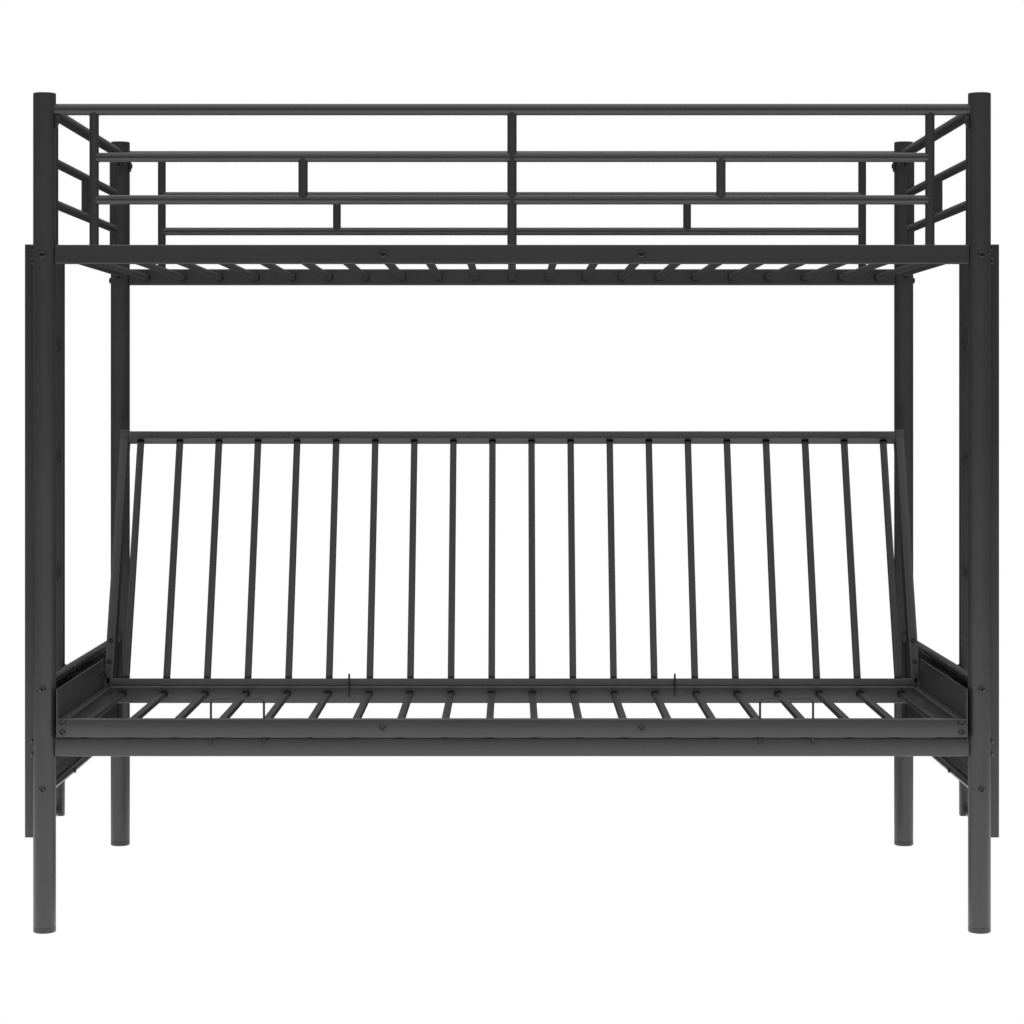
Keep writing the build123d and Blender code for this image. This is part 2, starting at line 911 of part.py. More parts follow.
side_tube_half = back_half - back_side_width / 2
back_bolt_places = [(way * side_tube_half, up) for way in (-1, 1) for up in (back_bolt_low, back_bolt_high)]
for side, way in sides.items():
    x = way * side_tube_half
    with BuildPart() as back_side:
        extrude(
            box_ring(
                up_backrest(back_low_end),
                [(x, -back_middle)],
                back_side_width,
                back_depth,
                tube_wall,
                tube_corner,
            ),
            amount=back_top_end - back_low_end,
        )
        for up in (back_bolt_low, back_bolt_high):
            foot = hinge + Vector(x, 0, 0) + up_back * up
            bore = Plane(origin=foot + out_front * back_rear, z_dir=out_front)
            extrude(disc(bore, [(0, 0)], hole_radius), amount=back_depth, mode=Mode.SUBTRACT)
    save(back_side, f"backrest_side_{side}")

bar_middle = back_face - back_bar_recess - back_bar_depth / 2
with BuildPart() as backrest_bars:
    places = [(x, -bar_middle) for x in row(seat_slat_count, seat_slat_pitch)]
    extrude(
        box_ring(
            up_backrest(back_low_end),
            places,
            back_bar_width,
            back_bar_depth,
            slat_wall,
            slat_corner,
        ),
        amount=back_top_start - back_low_end,
    )
save(backrest_bars, "backrest_bars")

with BuildPart() as backrest_caps:
    with BuildSketch(up_backrest(back_top_end)):
        with Locations((-side_tube_half, -back_middle), (side_tube_half, -back_middle)):
            RectangleRounded(back_side_width, back_depth, tube_corner)
    extrude(amount=back_cap_rise)
    fillet(backrest_caps.edges().group_by(Axis(hinge, up_back))[-1], back_cap_rise / 2)
save(backrest_caps, "backrest_caps")

# Hinge brackets: an ear on the pin, and a flange bolted behind the foot of the side tube.
for side, way in sides.items():
    ear_start = min(way * ear_inner, way * ear_outer)
    flange_start_x = min(way * ear_outer, way * (ear_outer - flange_width))
    with BuildPart() as bracket:
        with BuildSketch(across_back(ear_start)):
            Circle(eye_radius)
            with Locations((ear_reach / 2, back_rear - ear_depth / 2)):
                Rectangle(ear_reach, ear_depth)
            with Locations((back_low_end / 2, back_rear / 2)):
                Rectangle(back_low_end - 2 * cope, -back_rear + 2 * cope)
            Circle(pin_radius + pin_clearance, mode=Mode.SUBTRACT)
        extrude(amount=ear_thickness)
        with BuildSketch(across_back(flange_start_x)):
            with Locations(((flange_start + ear_reach) / 2, back_rear - ear_thickness / 2)):
                Rectangle(ear_reach - flange_start, ear_thickness)
        extrude(amount=flange_width)
        for up in (back_bolt_low, back_bolt_high):
            foot = hinge + Vector(way * side_tube_half, 0, 0) + up_back * up
            bore = Plane(origin=foot + out_front * (back_rear - ear_thickness), z_dir=out_front)
            extrude(disc(bore, [(0, 0)], hole_radius), amount=ear_thickness, mode=Mode.SUBTRACT)
    save(bracket, f"hinge_bracket_{side}")


def socket_bolt(radius, length):
    """Domed bolt with a hex socket, its head standing on the XY plane and its shank below."""
    with BuildPart() as bolt:
        extrude(disc(Plane.XY, [(0, 0)], radius), amount=head_height)
        fillet(bolt.edges().group_by(Axis.Z)[-1], head_dome)
        with BuildSketch(Plane.XY.offset(head_height - socket_depth)):
            RegularPolygon(socket_across / 2, 6, major_radius=False)
        extrude(amount=socket_depth, mode=Mode.SUBTRACT)
        extrude(disc(Plane.XY.offset(-length), [(0, 0)], shank_radius), amount=length)
    return bolt.part


def bolt_place(x, y, z, out):
    """Where a bolt head stands, with the way that it faces."""
    return Plane(origin=(x, y, z), z_dir=out).location


# Bolts, in groups of like ones.
long_bolt = socket_bolt(head_radius, post_outside + 2 * cope + bolt_reach)
post_bolt = socket_bolt(head_radius, post_outside + 2 * cope + end_strip_thickness)
deck_bolt = socket_bolt(head_radius, rail_depth)
seat_bolt = socket_bolt(head_radius, seat_depth + short_bolt_length)
short_bolt = socket_bolt(head_radius, short_bolt_length)
ladder_bolt = socket_bolt(ladder_bolt_radius, end_rail_width + ladder_gap + short_bolt_length)
back_bolt = socket_bolt(ladder_bolt_radius, back_depth + short_bolt_length)
post_outer_x = post_x + post_radius + cope
post_outer_y = post_y + post_radius + cope
deck_face = post_y + rail_depth / 2
bolt_groups = {
    "rail_bolts": (
        long_bolt,
        [
            bolt_place(way * post_outer_x, back * post_y, z, (way, 0, 0))
            for way in (-1, 1)
            for end, back in ends.items()
            for z in rail_bolt_heights[end]
        ],
    ),
    "end_frame_bolts": (
        post_bolt,
        [
            bolt_place(x, way * post_outer_y, z, (0, way, 0))
            for way in (-1, 1)
            for x in (-post_x, post_x)
            for z in post_bolt_heights
        ],
    ),
    "guard_bolts": (
        short_bolt,
        [
            bolt_place(way * tab_inner_x, y, guard_bolt_z, (-way, 0, 0))
            for way in (-1, 1)
            for y in (-post_y, post_y)
        ],
    ),
    "end_guard_bolts": (
        short_bolt,
        [
            bolt_place(x, way * tab_inner_y, end_bolt_z, (0, -way, 0))
            for way in (-1, 1)
            for x in (-post_x, post_x)
        ],
    ),
    "deck_bolts": (
        deck_bolt,
        [
            bolt_place(x, way * deck_face, deck_middle, (0, way, 0))
            for way in (-1, 1)
            for x in (-rail_bolt_x, rail_bolt_x)
        ],
    ),
    "ladder_bolts": (
        ladder_bolt,
        [
            bolt_place(way * (end_outer_x - width), y, z, (-way, 0, 0))
            for way in (-1, 1)
            for y in ladder_bolt_y
            for width, z in (
                (end_rail_width, end_rail_middle),
                (panel_tube_outside, panel_low_z),
                (panel_tube_outside, panel_top_z),
            )
        ],
    ),
    "seat_bolts": (
        seat_bolt,
        [
            bolt_place(x, -seat_front, z, (0, -1, 0))
            for x, z in seat_bolt_places
        ],
    ),
    "backrest_bolts": (
        back_bolt,
        [
            Plane(
                origin=hinge + Vector(x, 0, 0) + up_back * up + out_front * back_face, z_dir=out_front
            ).location
            for x, up in back_bolt_places
        ],
    ),
}
for name, (bolt, places) in bolt_groups.items():
    with BuildPart() as group:
        with Locations(*places):
            add(bolt)
    save(group, name)
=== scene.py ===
import math
import bpy
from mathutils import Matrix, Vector


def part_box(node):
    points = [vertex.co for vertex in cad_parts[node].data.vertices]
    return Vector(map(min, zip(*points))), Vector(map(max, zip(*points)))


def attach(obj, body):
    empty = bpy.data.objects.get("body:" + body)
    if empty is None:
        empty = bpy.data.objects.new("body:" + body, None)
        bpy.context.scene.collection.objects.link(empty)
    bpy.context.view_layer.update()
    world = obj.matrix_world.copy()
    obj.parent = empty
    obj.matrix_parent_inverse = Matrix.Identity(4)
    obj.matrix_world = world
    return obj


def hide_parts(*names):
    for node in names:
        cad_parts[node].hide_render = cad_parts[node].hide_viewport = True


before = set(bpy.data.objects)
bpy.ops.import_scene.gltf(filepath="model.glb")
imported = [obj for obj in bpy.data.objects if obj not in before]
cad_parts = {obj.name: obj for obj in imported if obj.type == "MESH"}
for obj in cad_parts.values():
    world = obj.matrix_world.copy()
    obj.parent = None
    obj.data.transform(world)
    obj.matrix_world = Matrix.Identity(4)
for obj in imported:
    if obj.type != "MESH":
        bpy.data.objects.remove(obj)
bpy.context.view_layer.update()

# ------------------------ the view
# The bed is seen square from the front, from 5.9 m away and 1.14 m up, with a long lens
# so that the rear posts stand inside the front ones.


def placed(name, data):
    """A new object in the scene, with this data."""
    made = bpy.data.objects.new(name, data)
    bpy.context.scene.collection.objects.link(made)
    return made


eye_distance, eye_height = 5.9, 1.137
camera_data = bpy.data.cameras.new("front_view")
camera_data.lens = 89.3
camera_data.sensor_width = 36.0
camera_data.shift_y = -0.1143
camera_data.dof.use_dof = False
camera_data.clip_end = 100.0
camera = placed("front_view", camera_data)
camera.location = (0.0, -eye_distance, eye_height)
camera.rotation_euler = (math.radians(90), 0.0, 0.0)
bpy.context.scene.camera = camera
bpy.context.scene.view_settings.view_transform = "Standard"

# ------------------------ studio
# A white studio: soft light from a bright ceiling, a darker band all round at eye
# level, and a white floor that is brightest near the bed and lights it from below.
# Under the bed its light is dimmed: a painted shadow of the bed.


def add_node(tree, kind, inputs=(), **settings):
    """A new node. Its inputs, by name or number, are values or other nodes' outputs."""
    made = tree.nodes.new(kind)
    for name, value in settings.items():
        setattr(made, name, value)
    for name, value in dict(inputs).items():
        if isinstance(value, bpy.types.NodeSocket):
            tree.links.new(value, made.inputs[name])
        else:
            made.inputs[name].default_value = value
    return made


def math_node(tree, kind, *values):
    """The result of a Math node; a value is a number or another node's output."""
    return add_node(tree, "ShaderNodeMath", enumerate(values), operation=kind).outputs[0]


def faded(tree, value, near, far, first, last):
    """Goes smoothly from the first number to the last as a value goes from near to far."""
    limits = {"Value": value, "From Min": near, "From Max": far, "To Min": first, "To Max": last}
    ramp = add_node(tree, "ShaderNodeMapRange", limits, interpolation_type="SMOOTHSTEP")
    return ramp.outputs["Result"]


def white_or_lighting(tree, lighting):
    """White where the camera sees it, and that strength for the light that it gives."""
    seen = add_node(tree, "ShaderNodeLightPath").outputs["Is Camera Ray"]
    return add_node(tree, "ShaderNodeMix", {0: seen, 2: lighting, 3: 1.0}).outputs[0]


studio = bpy.data.worlds.new("studio")
studio.use_nodes = True
sky = studio.node_tree
direction = add_node(sky, "ShaderNodeTexCoord").outputs["Generated"]
split = add_node(sky, "ShaderNodeSeparateXYZ", {0: direction}).outputs
height_light = add_node(sky, "ShaderNodeValToRGB", {"Fac": split["Z"]})
light_by_rise = ((0.0, 0.06), (0.22, 0.20), (0.6, 0.85), (1.0, 1.50))
while len(height_light.color_ramp.elements) < len(light_by_rise):
    height_light.color_ramp.elements.new(0.5)
for element, (rise, light) in zip(height_light.color_ramp.elements, light_by_rise):
    element.position = rise
    element.color = (light, light, light, 1.0)
front_focus, front_strength = 6.0, 0.06
front_light = math_node(sky, "MAXIMUM", math_node(sky, "MULTIPLY", split["Y"], -1.0), 0.0)
front_light = math_node(sky, "POWER", front_light, front_focus)
front_light = math_node(sky, "MULTIPLY", front_light, front_strength)
room_light = math_node(sky, "ADD", height_light.outputs["Color"], front_light)
sky_shader = sky.nodes["Background"]
sky_shader.inputs["Color"].default_value = (1.0, 1.0, 1.0, 1.0)
sky.links.new(white_or_lighting(sky, room_light), sky_shader.inputs["Strength"])
bpy.context.scene.world = studio

floor_half = 12
floor_signs = ((-1, -1), (1, -1), (1, 1), (-1, 1))
floor_mesh = bpy.data.meshes.new("studio_floor")
floor_mesh.from_pydata([(x * floor_half, y * floor_half, 0) for x, y in floor_signs], [], [(0, 1, 2, 3)])
studio_floor = placed("studio_floor", floor_mesh)
floor_paint = bpy.data.materials.new("white_floor")
floor_paint.use_nodes = True
floor_tree = floor_paint.node_tree
floor_tree.nodes.remove(floor_tree.nodes["Principled BSDF"])
floor_place = add_node(floor_tree, "ShaderNodeTexCoord").outputs["Object"]
floor_split = add_node(floor_tree, "ShaderNodeSeparateXYZ", {0: floor_place}).outputs
pool_ends = {0: floor_place, 1: (0.0, -1.3, 0.0)}
from_pool = add_node(floor_tree, "ShaderNodeVectorMath", pool_ends, operation="DISTANCE")
round_pool = faded(floor_tree, from_pool.outputs["Value"], 1.6, 6.2, 1.5, 0.10)
behind_bed = faded(floor_tree, floor_split["Y"], 0.0, 2.3, 1.0, 0.03)
off_middle = [math_node(floor_tree, "ABSOLUTE", floor_split[axis]) for axis in "XY"]
# The floor's light is dimmed under the bed: a painted shadow of the bed.
under_length = faded(floor_tree, off_middle[0], 0.5, 1.0, 0.7, 0.0)
under_depth = faded(floor_tree, off_middle[1], 0.25, 0.6, 1.0, 0.0)
bed_shadow = math_node(floor_tree, "MULTIPLY", under_length, under_depth)
outside_bed_shadow = math_node(floor_tree, "SUBTRACT", 1.0, bed_shadow)
floor_light = math_node(floor_tree, "MULTIPLY", round_pool, behind_bed)
floor_light = math_node(floor_tree, "MULTIPLY", floor_light, outside_bed_shadow)
glow = add_node(floor_tree, "ShaderNodeEmission", {"Strength": white_or_lighting(floor_tree, floor_light)})
floor_tree.links.new(glow.outputs[0], floor_tree.nodes["Material Output"].inputs["Surface"])
floor_mesh.materials.append(floor_paint)

# ------------------------ posts
# Four upright posts of round steel tube, powder coated satin black. The rails, guards
# and end panels are bolted to them.
MM = 0.001
X, Y, Z = Vector((1, 0, 0)), Vector((0, 1, 0)), Vector((0, 0, 1))


def powder_coat(
    name, shade, roughness, peel=620.0, lift=0.00003, ior=1.55, streak=(1.0, 1.0, 1.0), end_shade=None
):
    """Baked powder paint: orange peel, fine pits, slow changes of shade and of gloss.
    End shade, as (direction, low, high, reach), is painted shade: with it the reflection is
    halved, and colour and reflection darken towards two ends."""
    paint = bpy.data.materials.new(name)
    paint.use_nodes = True
    tree = paint.node_tree
    shader = tree.nodes["Principled BSDF"]
    shader.inputs["IOR"].default_value = ior
    place = add_node(tree, "ShaderNodeTexCoord").outputs["Object"]
    stretched = add_node(tree, "ShaderNodeMapping", {"Vector": place, "Scale": streak}).outputs["Vector"]

    def patches(scale, detail):
        cloud = {"Vector": stretched, "Scale": scale, "Detail": detail}
        return add_node(tree, "ShaderNodeTexNoise", cloud).outputs["Fac"]

    slow = math_node(tree, "MULTIPLY", patches(5.0, 4.0), 0.7)
    mottle = math_node(tree, "MULTIPLY", patches(160.0, 3.0), 0.3)
    mixed = math_node(tree, "ADD", slow, mottle)
    tint = add_node(tree, "ShaderNodeValToRGB", {"Fac": mixed})
    grey_and_blue = ((0.32, 0.90, 0.91), (0.68, 1.10, 1.12))
    for element, (position, grey, blue) in zip(tint.color_ramp.elements, grey_and_blue):
        element.position = position
        element.color = (shade * grey, shade * grey, shade * blue, 1.0)
    colour = tint.outputs["Color"]
    # Painted shade: colour and reflection darken towards both ends, where parts meet.
    if end_shade:
        along, low, high, reach = end_shade
        station = add_node(tree, "ShaderNodeVectorMath", {0: place, 1: along}, operation="DOT_PRODUCT")
        to_low = math_node(tree, "SUBTRACT", station.outputs["Value"], low)
        to_high = math_node(tree, "SUBTRACT", high, station.outputs["Value"])
        end_shade_share = faded(tree, math_node(tree, "MINIMUM", to_low, to_high), 0.0, reach, 0.04, 1.0)
        end_shaded = add_node(tree, "ShaderNodeVectorMath", {0: colour, "Scale": end_shade_share}, operation="SCALE")
        colour = end_shaded.outputs["Vector"]
        tree.links.new(math_node(tree, "MULTIPLY", end_shade_share, 0.5), shader.inputs["Specular IOR Level"])
    glossy = {"Value": mixed, "To Min": roughness - 0.04, "To Max": roughness + 0.04}
    gloss = add_node(tree, "ShaderNodeMapRange", glossy).outputs["Result"]
    peeled = {"Strength": 0.35, "Distance": lift, "Height": patches(peel, 2.0)}
    skin = add_node(tree, "ShaderNodeBump", peeled).outputs["Normal"]
    spots = {"Vector": stretched, "Scale": peel * 0.4}
    pits = add_node(tree, "ShaderNodeTexVoronoi", spots).outputs["Distance"]
    depth = math_node(tree, "MINIMUM", pits, 0.12)
    pitted = {"Strength": 0.25, "Distance": lift, "Height": depth, "Normal": skin}
    surface = add_node(tree, "ShaderNodeBump", pitted).outputs["Normal"]
    for socket, value in (("Base Color", colour), ("Roughness", gloss), ("Normal", surface)):
        tree.links.new(value, shader.inputs[socket])
    return paint


def round_section(outside, wall, sides=72):
    """Outer and inner outline of a round tube."""
    angles = [2 * math.pi * step / sides for step in range(sides)]
    outline = [Vector((math.cos(angle), math.sin(angle))) for angle in angles]
    return [point * outside / 2 for point in outline], [point * (outside / 2 - wall) for point in outline]


def axes_of(along):
    """Two directions square to a tube's length, in right-handed order with it."""
    along = along.normalized()
    side = Z.cross(along)
    side = side.normalized() if side.length > 0.5 else X.copy()
    return along, side, along.cross(side)


def met_round(reach, along, other):
    """How far short of a crossing round tube's centre line each point of an end stops."""
    across = along.cross(other).normalized()
    return lambda offset: math.sqrt(max(0.0, reach ** 2 - offset.dot(across) ** 2))


def ring_faces(low, high):
    """Faces from one ring of point numbers to the next; a ring of one number is a tip."""
    low, high = list(low), list(high)
    quads = zip(low, low[1:] + low[:1], high[1:] + high[:1], high)
    return [tuple(dict.fromkeys(quad)) for quad in quads]


def straight_tube(place, along, section, start, end, meets_start=None, meets_end=None):
    """A closed tube with its bore; its ends are flat or cut round the tubes they meet.
    Gives the mesh and the outer outlines of both ends."""
    along, side, up = axes_of(along)
    points = []
    for outline in section:
        for distance, meets, way in ((start, meets_start, 1), (end, meets_end, -1)):
            for a, b in outline:
                offset = side * a + up * b
                cut = meets(offset) * way if meets else 0.0
                points.append(Vector(place) + offset + along * (distance + cut))
    count = len(section[0])
    rings = [range(first, first + count) for first in range(0, 4 * count, count)]
    outer_start, outer_end, inner_start, inner_end = rings
    faces = ring_faces(outer_start, outer_end) + ring_faces(inner_end, inner_start)
    faces += ring_faces(outer_end, inner_end) + ring_faces(inner_start, outer_start)
    return (points, faces), (points[:count], points[count:2 * count])


def link_piece(name, mesh, finish, *nodes):
    """Shows a mesh as a piece of the bed. Its finish is its paint, body and slot; the slot is not used."""
    paint, body, slot = finish
    mesh.materials.clear()
    mesh.materials.append(paint)
    mesh.shade_smooth()
    mesh.set_sharp_from_angle(angle=math.radians(32))
    piece = placed(name, mesh)
    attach(piece, body)
    if nodes:
        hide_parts(*nodes)
    return piece


def mesh_of(name, shapes):
    """One mesh from several closed shapes, each its points and faces."""
    points, faces = [], []
    for shape_points, shape_faces in shapes:
        first = len(points)
        points.extend(shape_points)
        faces.extend(tuple(first + index for index in face) for face in shape_faces)
    mesh = bpy.data.meshes.new(name)
    mesh.from_pydata(points, [], faces)
    return mesh


def solid_piece(name, shapes, finish, *nodes):
    """One piece from several closed shapes."""
    return link_piece(name, mesh_of(name, shapes), finish, *nodes)


post_finish = (powder_coat("satin_black_posts", 0.036, 0.34), "frame", "post_paint")
post_wall = 1.0 * MM
post_low, post_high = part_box("post_front_left")
post_radius = (post_high[0] - post_low[0]) / 2
post_x = -(post_high[0] + post_low[0]) / 2
post_y = -(post_high[1] + post_low[1]) / 2
sides = {"left": -1, "right": 1}
ends = {"front": -1, "rear": 1}
post_section = round_section(2 * post_radius, post_wall, 96)
for side, way in sides.items():
    for end, back in ends.items():
        place = (way * post_x, back * post_y, 0)
        tube, _ = straight_tube(place, Z, post_section, post_low[2], post_high[2])
        solid_piece(f"tube_of_{end}_{side}_post", [tube], post_finish, f"post_{end}_{side}")

# ------------------------ feet and caps
# Moulded plastic feet and caps with a plug pressed into each post: the foot has a
# rounded tread and a shadow line under the tube, the cap a low dome.
moulded_black = powder_coat("moulded_black_plastic", 0.034, 0.42, peel=1500.0, lift=0.00002, ior=1.5)


def turned(profile, x=0.0, y=0.0, segments=72):
    """A closed turned shape from (radius, height) points, its first and last on the axis.
    A third value at a point scales its radius segment by segment."""
    points, rings = [], []
    for radius, z, *shape in profile:
        first = len(points)
        if radius == 0:
            rings.append([first] * segments)
            points.append(Vector((x, y, z)))
            continue
        rings.append(range(first, first + segments))
        for step in range(segments):
            angle = 2 * math.pi * step / segments
            reach = radius * shape[0][step] if shape else radius
            points.append(Vector((x + reach * math.cos(angle), y + reach * math.sin(angle), z)))
    return points, [face for low, high in zip(rings, rings[1:]) for face in ring_faces(low, high)]


def rounded(radius, centre_z, corner, rising):
    """Quarter round between a flat end and a side, as (radius, height) points."""
    steps = [math.radians(angle) for angle in range(0, 91, 15)]
    if rising:
        return [(radius - corner + corner * math.sin(a), centre_z - corner * math.cos(a)) for a in steps]
    return [(radius - corner + corner * math.cos(a), centre_z + corner * math.sin(a)) for a in steps]


plug_depth, plug_radius = 22 * MM, post_radius - post_wall - 0.15 * MM
tread_corner, tread_hollow = 2.6 * MM, 1.2 * MM
dome_corner, dome_rise = 2.4 * MM, 0.8 * MM
groove = 0.5 * MM
foot_bottom, foot_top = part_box("post_feet")[0][2], post_low[2]
cap_bottom, cap_top = post_high[2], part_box("post_caps")[1][2]
foot_profile = [
    (0, foot_bottom + tread_hollow),
    (post_radius * 0.55, foot_bottom + tread_hollow),
    (post_radius * 0.62, foot_bottom),
    *rounded(post_radius, foot_bottom + tread_corner, tread_corner, True),
    (post_radius, foot_top - 2 * groove),
    (post_radius - groove, foot_top - groove),
    (post_radius - groove, foot_top),
    (plug_radius, foot_top),
    (plug_radius - groove, foot_top + plug_depth),
    (0, foot_top + plug_depth),
]
cap_profile = [
    (0, cap_bottom - plug_depth),
    (plug_radius - groove, cap_bottom - plug_depth),
    (plug_radius, cap_bottom),
    (post_radius - groove, cap_bottom),
    (post_radius - groove, cap_bottom + groove),
    (post_radius, cap_bottom + 2 * groove),
    *rounded(post_radius, cap_top - dome_rise - dome_corner, dome_corner, False),
    (post_radius * 0.5, cap_top - dome_rise * 0.25),
    (0, cap_top),
]
frame_plastic = (moulded_black, "frame", "black_plastic")
post_places = [(x, y) for x in (-post_x, post_x) for y in (-post_y, post_y)]
for name, profile in (("feet", foot_profile), ("caps", cap_profile)):
    shapes = [turned(profile, x, y) for x, y in post_places]
    solid_piece(f"{name}_of_posts", shapes, frame_plastic, f"post_{name}")

# ------------------------ weld seams
# Thin welded seams, ground and painted over, run round every place where one tube of
# the frame ends on another.
frame_steel = (powder_coat("satin_black_frame", 0.036, 0.31), "frame", "frame_paint")
seam_radius = 0.7 * MM


def form_tree(name, inputs):
    """A Geometry Nodes tree with inputs by (name, kind). Gives the tree, what its input
    node puts out and the inputs' identifiers."""
    tree = bpy.data.node_groups.new(name, "GeometryNodeTree")
    identifiers = {}
    for label, kind in inputs:
        socket = tree.interface.new_socket(name=label, in_out="INPUT", socket_type=f"NodeSocket{kind}")
        identifiers[label] = socket.identifier
    tree.interface.new_socket(name="Made", in_out="OUTPUT", socket_type="NodeSocketGeometry")
    return tree, add_node(tree, "NodeGroupInput").outputs, identifiers


def end_tree(tree, geometry, paint):
    """Ends a tree: its copies are made real and painted."""
    real = add_node(tree, "GeometryNodeRealizeInstances", {"Geometry": geometry}).outputs["Geometry"]
    coat = add_node(tree, "GeometryNodeSetMaterial", {"Geometry": real, "Material": paint})
    add_node(tree, "NodeGroupOutput", {0: coat.outputs["Geometry"]})


def seam_tree(paint):
    """Node tree that lays a bead of weld, a little uneven, along the edges of a mesh."""
    inputs = (("Lines", "Geometry"), ("Bead radius", "Float"), ("Ripple", "Float"), ("Seed", "Float"))
    tree, given, identifiers = form_tree("weld_seam", inputs)
    route = add_node(tree, "GeometryNodeMeshToCurve", {"Mesh": given["Lines"]}).outputs["Curve"]
    circle = {"Resolution": 6, "Radius": given["Bead radius"]}
    profile = add_node(tree, "GeometryNodeCurvePrimitiveCircle", circle).outputs["Curve"]
    swept = {"Curve": route, "Profile Curve": profile}
    bead = add_node(tree, "GeometryNodeCurveToMesh", swept).outputs["Mesh"]
    lumps = {"Scale": 420.0, "W": given["Seed"]}
    bumps = add_node(tree, "ShaderNodeTexNoise", lumps, noise_dimensions="4D").outputs["Fac"]
    height = math_node(tree, "MULTIPLY", math_node(tree, "SUBTRACT", bumps, 0.5), given["Ripple"])
    normal = add_node(tree, "GeometryNodeInputNormal").outputs["Normal"]
    offset = add_node(tree, "ShaderNodeVectorMath", {0: normal, "Scale": height}, operation="SCALE")
    shifted = {"Geometry": bead, "Offset": offset.outputs["Vector"]}
    end_tree(tree, add_node(tree, "GeometryNodeSetPosition", shifted).outputs["Geometry"], paint)
    return tree, identifiers


def made_by(tree_and_identifiers, settings, mesh, name):
    """The plain mesh that a node tree makes from another, with the tree's settings."""
    tree, identifiers = tree_and_identifiers
    source = placed(f"source_of_{name}", mesh)
    maker = source.modifiers.new("maker", "NODES")
    maker.node_group = tree
    for label, value in settings.items():
        maker[identifiers[label]] = value
    bpy.context.view_layer.update()
    seen = source.evaluated_get(bpy.context.evaluated_depsgraph_get())
    made = bpy.data.meshes.new_from_object(seen)
    made.name = name
    source.modifiers.remove(maker)
    bpy.data.objects.remove(source)
    return made


def weld_seams(name, loops, finish, radius=seam_radius):
    """Beads of weld along closed lines of points, as one piece."""
    points, edges = [], []
    for loop in loops:
        first = len(points)
        points.extend(loop)
        edges.extend((first + step, first + (step + 1) % len(loop)) for step in range(len(loop)))
    mesh = bpy.data.meshes.new(f"lines_of_{name}")
    mesh.from_pydata(points, edges, [])
    settings = {"Bead radius": radius, "Ripple": radius * 0.5, "Seed": float(len(loops))}
    return link_piece(name, made_by(seam_tree(finish[0]), settings, mesh, name), finish)


# ------------------------ upper deck rails
# Roll-formed rectangular steel tube with faces that stand out a little in the middle.
# The long rails are cut round the posts and bolted to them; the end rails lie lower,
# each with a bolt tab under either end.


def rolled_section(width, depth, wall, corner=2.5 * MM, crown=0.35 * MM):
    """Outer and inner outline of a rectangular tube with crowned faces and round corners."""
    def outline(half_a, half_b, round_off):
        flat_a, flat_b = half_a - crown - round_off, half_b - crown - round_off
        points = []
        for quarter, (flat, half) in enumerate(((flat_b, half_a), (flat_a, half_b)) * 2):
            shares = [step / 5 - 1 for step in range(11)]
            tilts = [math.radians(angle) for angle in range(15, 90, 15)]
            face = [(half - crown * share ** 2, flat * share) for share in shares]
            middle = half - crown - round_off
            turns = [(round_off * math.cos(tilt), round_off * math.sin(tilt)) for tilt in tilts]
            face += [(middle + out, flat + up) for out, up in turns]
            cos, sin = math.cos(math.radians(90 * quarter)), math.sin(math.radians(90 * quarter))
            points += [Vector((out * cos - up * sin, out * sin + up * cos)) for out, up in face]
        return points
    inner_corner = max(corner - wall, 0.4 * MM)
    return outline(width / 2, depth / 2, corner), outline(width / 2 - wall, depth / 2 - wall, inner_corner)


def box_size(node):
    """Middle and size of a CAD node's box."""
    low, high = Vector(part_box(node)[0]), Vector(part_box(node)[1])
    return (low + high) / 2, high - low


tube_wall = 1.0 * MM
weld_gap = 0.1 * MM
at_post = post_radius + weld_gap
deck_middle, deck_size = box_size("deck_rail_front")
deck_top = deck_middle.z + deck_size.z / 2
deck_section = rolled_section(deck_size.y, deck_size.z, tube_wall)
joint_gap = 1.6 * MM
short_of_posts = [met_round(at_post + joint_gap, X, Z)] * 2
for end, back in ends.items():
    place = (0, back * post_y, deck_middle.z)
    rail, _ = straight_tube(place, X, deck_section, -post_x, post_x, *short_of_posts)
    solid_piece(f"rail_of_deck_{end}", [rail], frame_steel, f"deck_rail_{end}")

end_rail_width, end_rail_height = 20 * MM, 25 * MM
end_rail_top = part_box("deck_end_rail_left")[1][2]
end_rail_bottom = end_rail_top - end_rail_height
end_rail_z = end_rail_top - end_rail_height / 2
end_rail_section = rolled_section(end_rail_width, end_rail_height, tube_wall)
tab_drop, tab_thickness, tab_corner = 15 * MM, 3 * MM, 5 * MM
tab_y = post_y - at_post


def standing_plate(outline, start, thickness):
    """A flat plate: an outline of (x, z) points, counterclockwise from the front, and its thickness."""
    count = len(outline)
    points = [Vector((x, y, z)) for y in (start, start + thickness) for x, z in outline]
    near, far = range(count), range(count, 2 * count)
    faces = [tuple(near), tuple(reversed(far))]
    faces += [(step, count + step, count + (step + 1) % count, (step + 1) % count) for step in near]
    return points, faces


def tab_outline(x, top, bottom, width, corner):
    """A tab that hangs from a tube, with its two lower corners rounded."""
    points = [(x + width / 2, top), (x - width / 2, top)]
    for centre, first in ((x - width / 2 + corner, 180), (x + width / 2 - corner, 270)):
        for angle in range(first, first + 91, 15):
            tilt = math.radians(angle)
            points.append((centre + corner * math.cos(tilt), bottom + corner + corner * math.sin(tilt)))
    return points


end_at_posts = [met_round(at_post, Y, Z)] * 2
for side, way in sides.items():
    x = way * post_x
    rail, _ = straight_tube((x, 0, end_rail_z), Y, end_rail_section, -post_y, post_y, *end_at_posts)
    tab_top = end_rail_bottom + tube_wall / 2
    hang = tab_outline(x, tab_top, end_rail_bottom - tab_drop, end_rail_width, tab_corner)
    tabs = [standing_plate(hang, start, tab_thickness) for start in (-tab_y, tab_y - tab_thickness)]
    solid_piece(f"end_rail_of_deck_{side}", [rail, *tabs], frame_steel, f"deck_end_rail_{side}")

# ------------------------ deck slats
# Flat-sided slats of thin tube cross the upper deck from rail to rail, and are welded
# to the rails' inner faces at both ends. They carry the twin mattress.


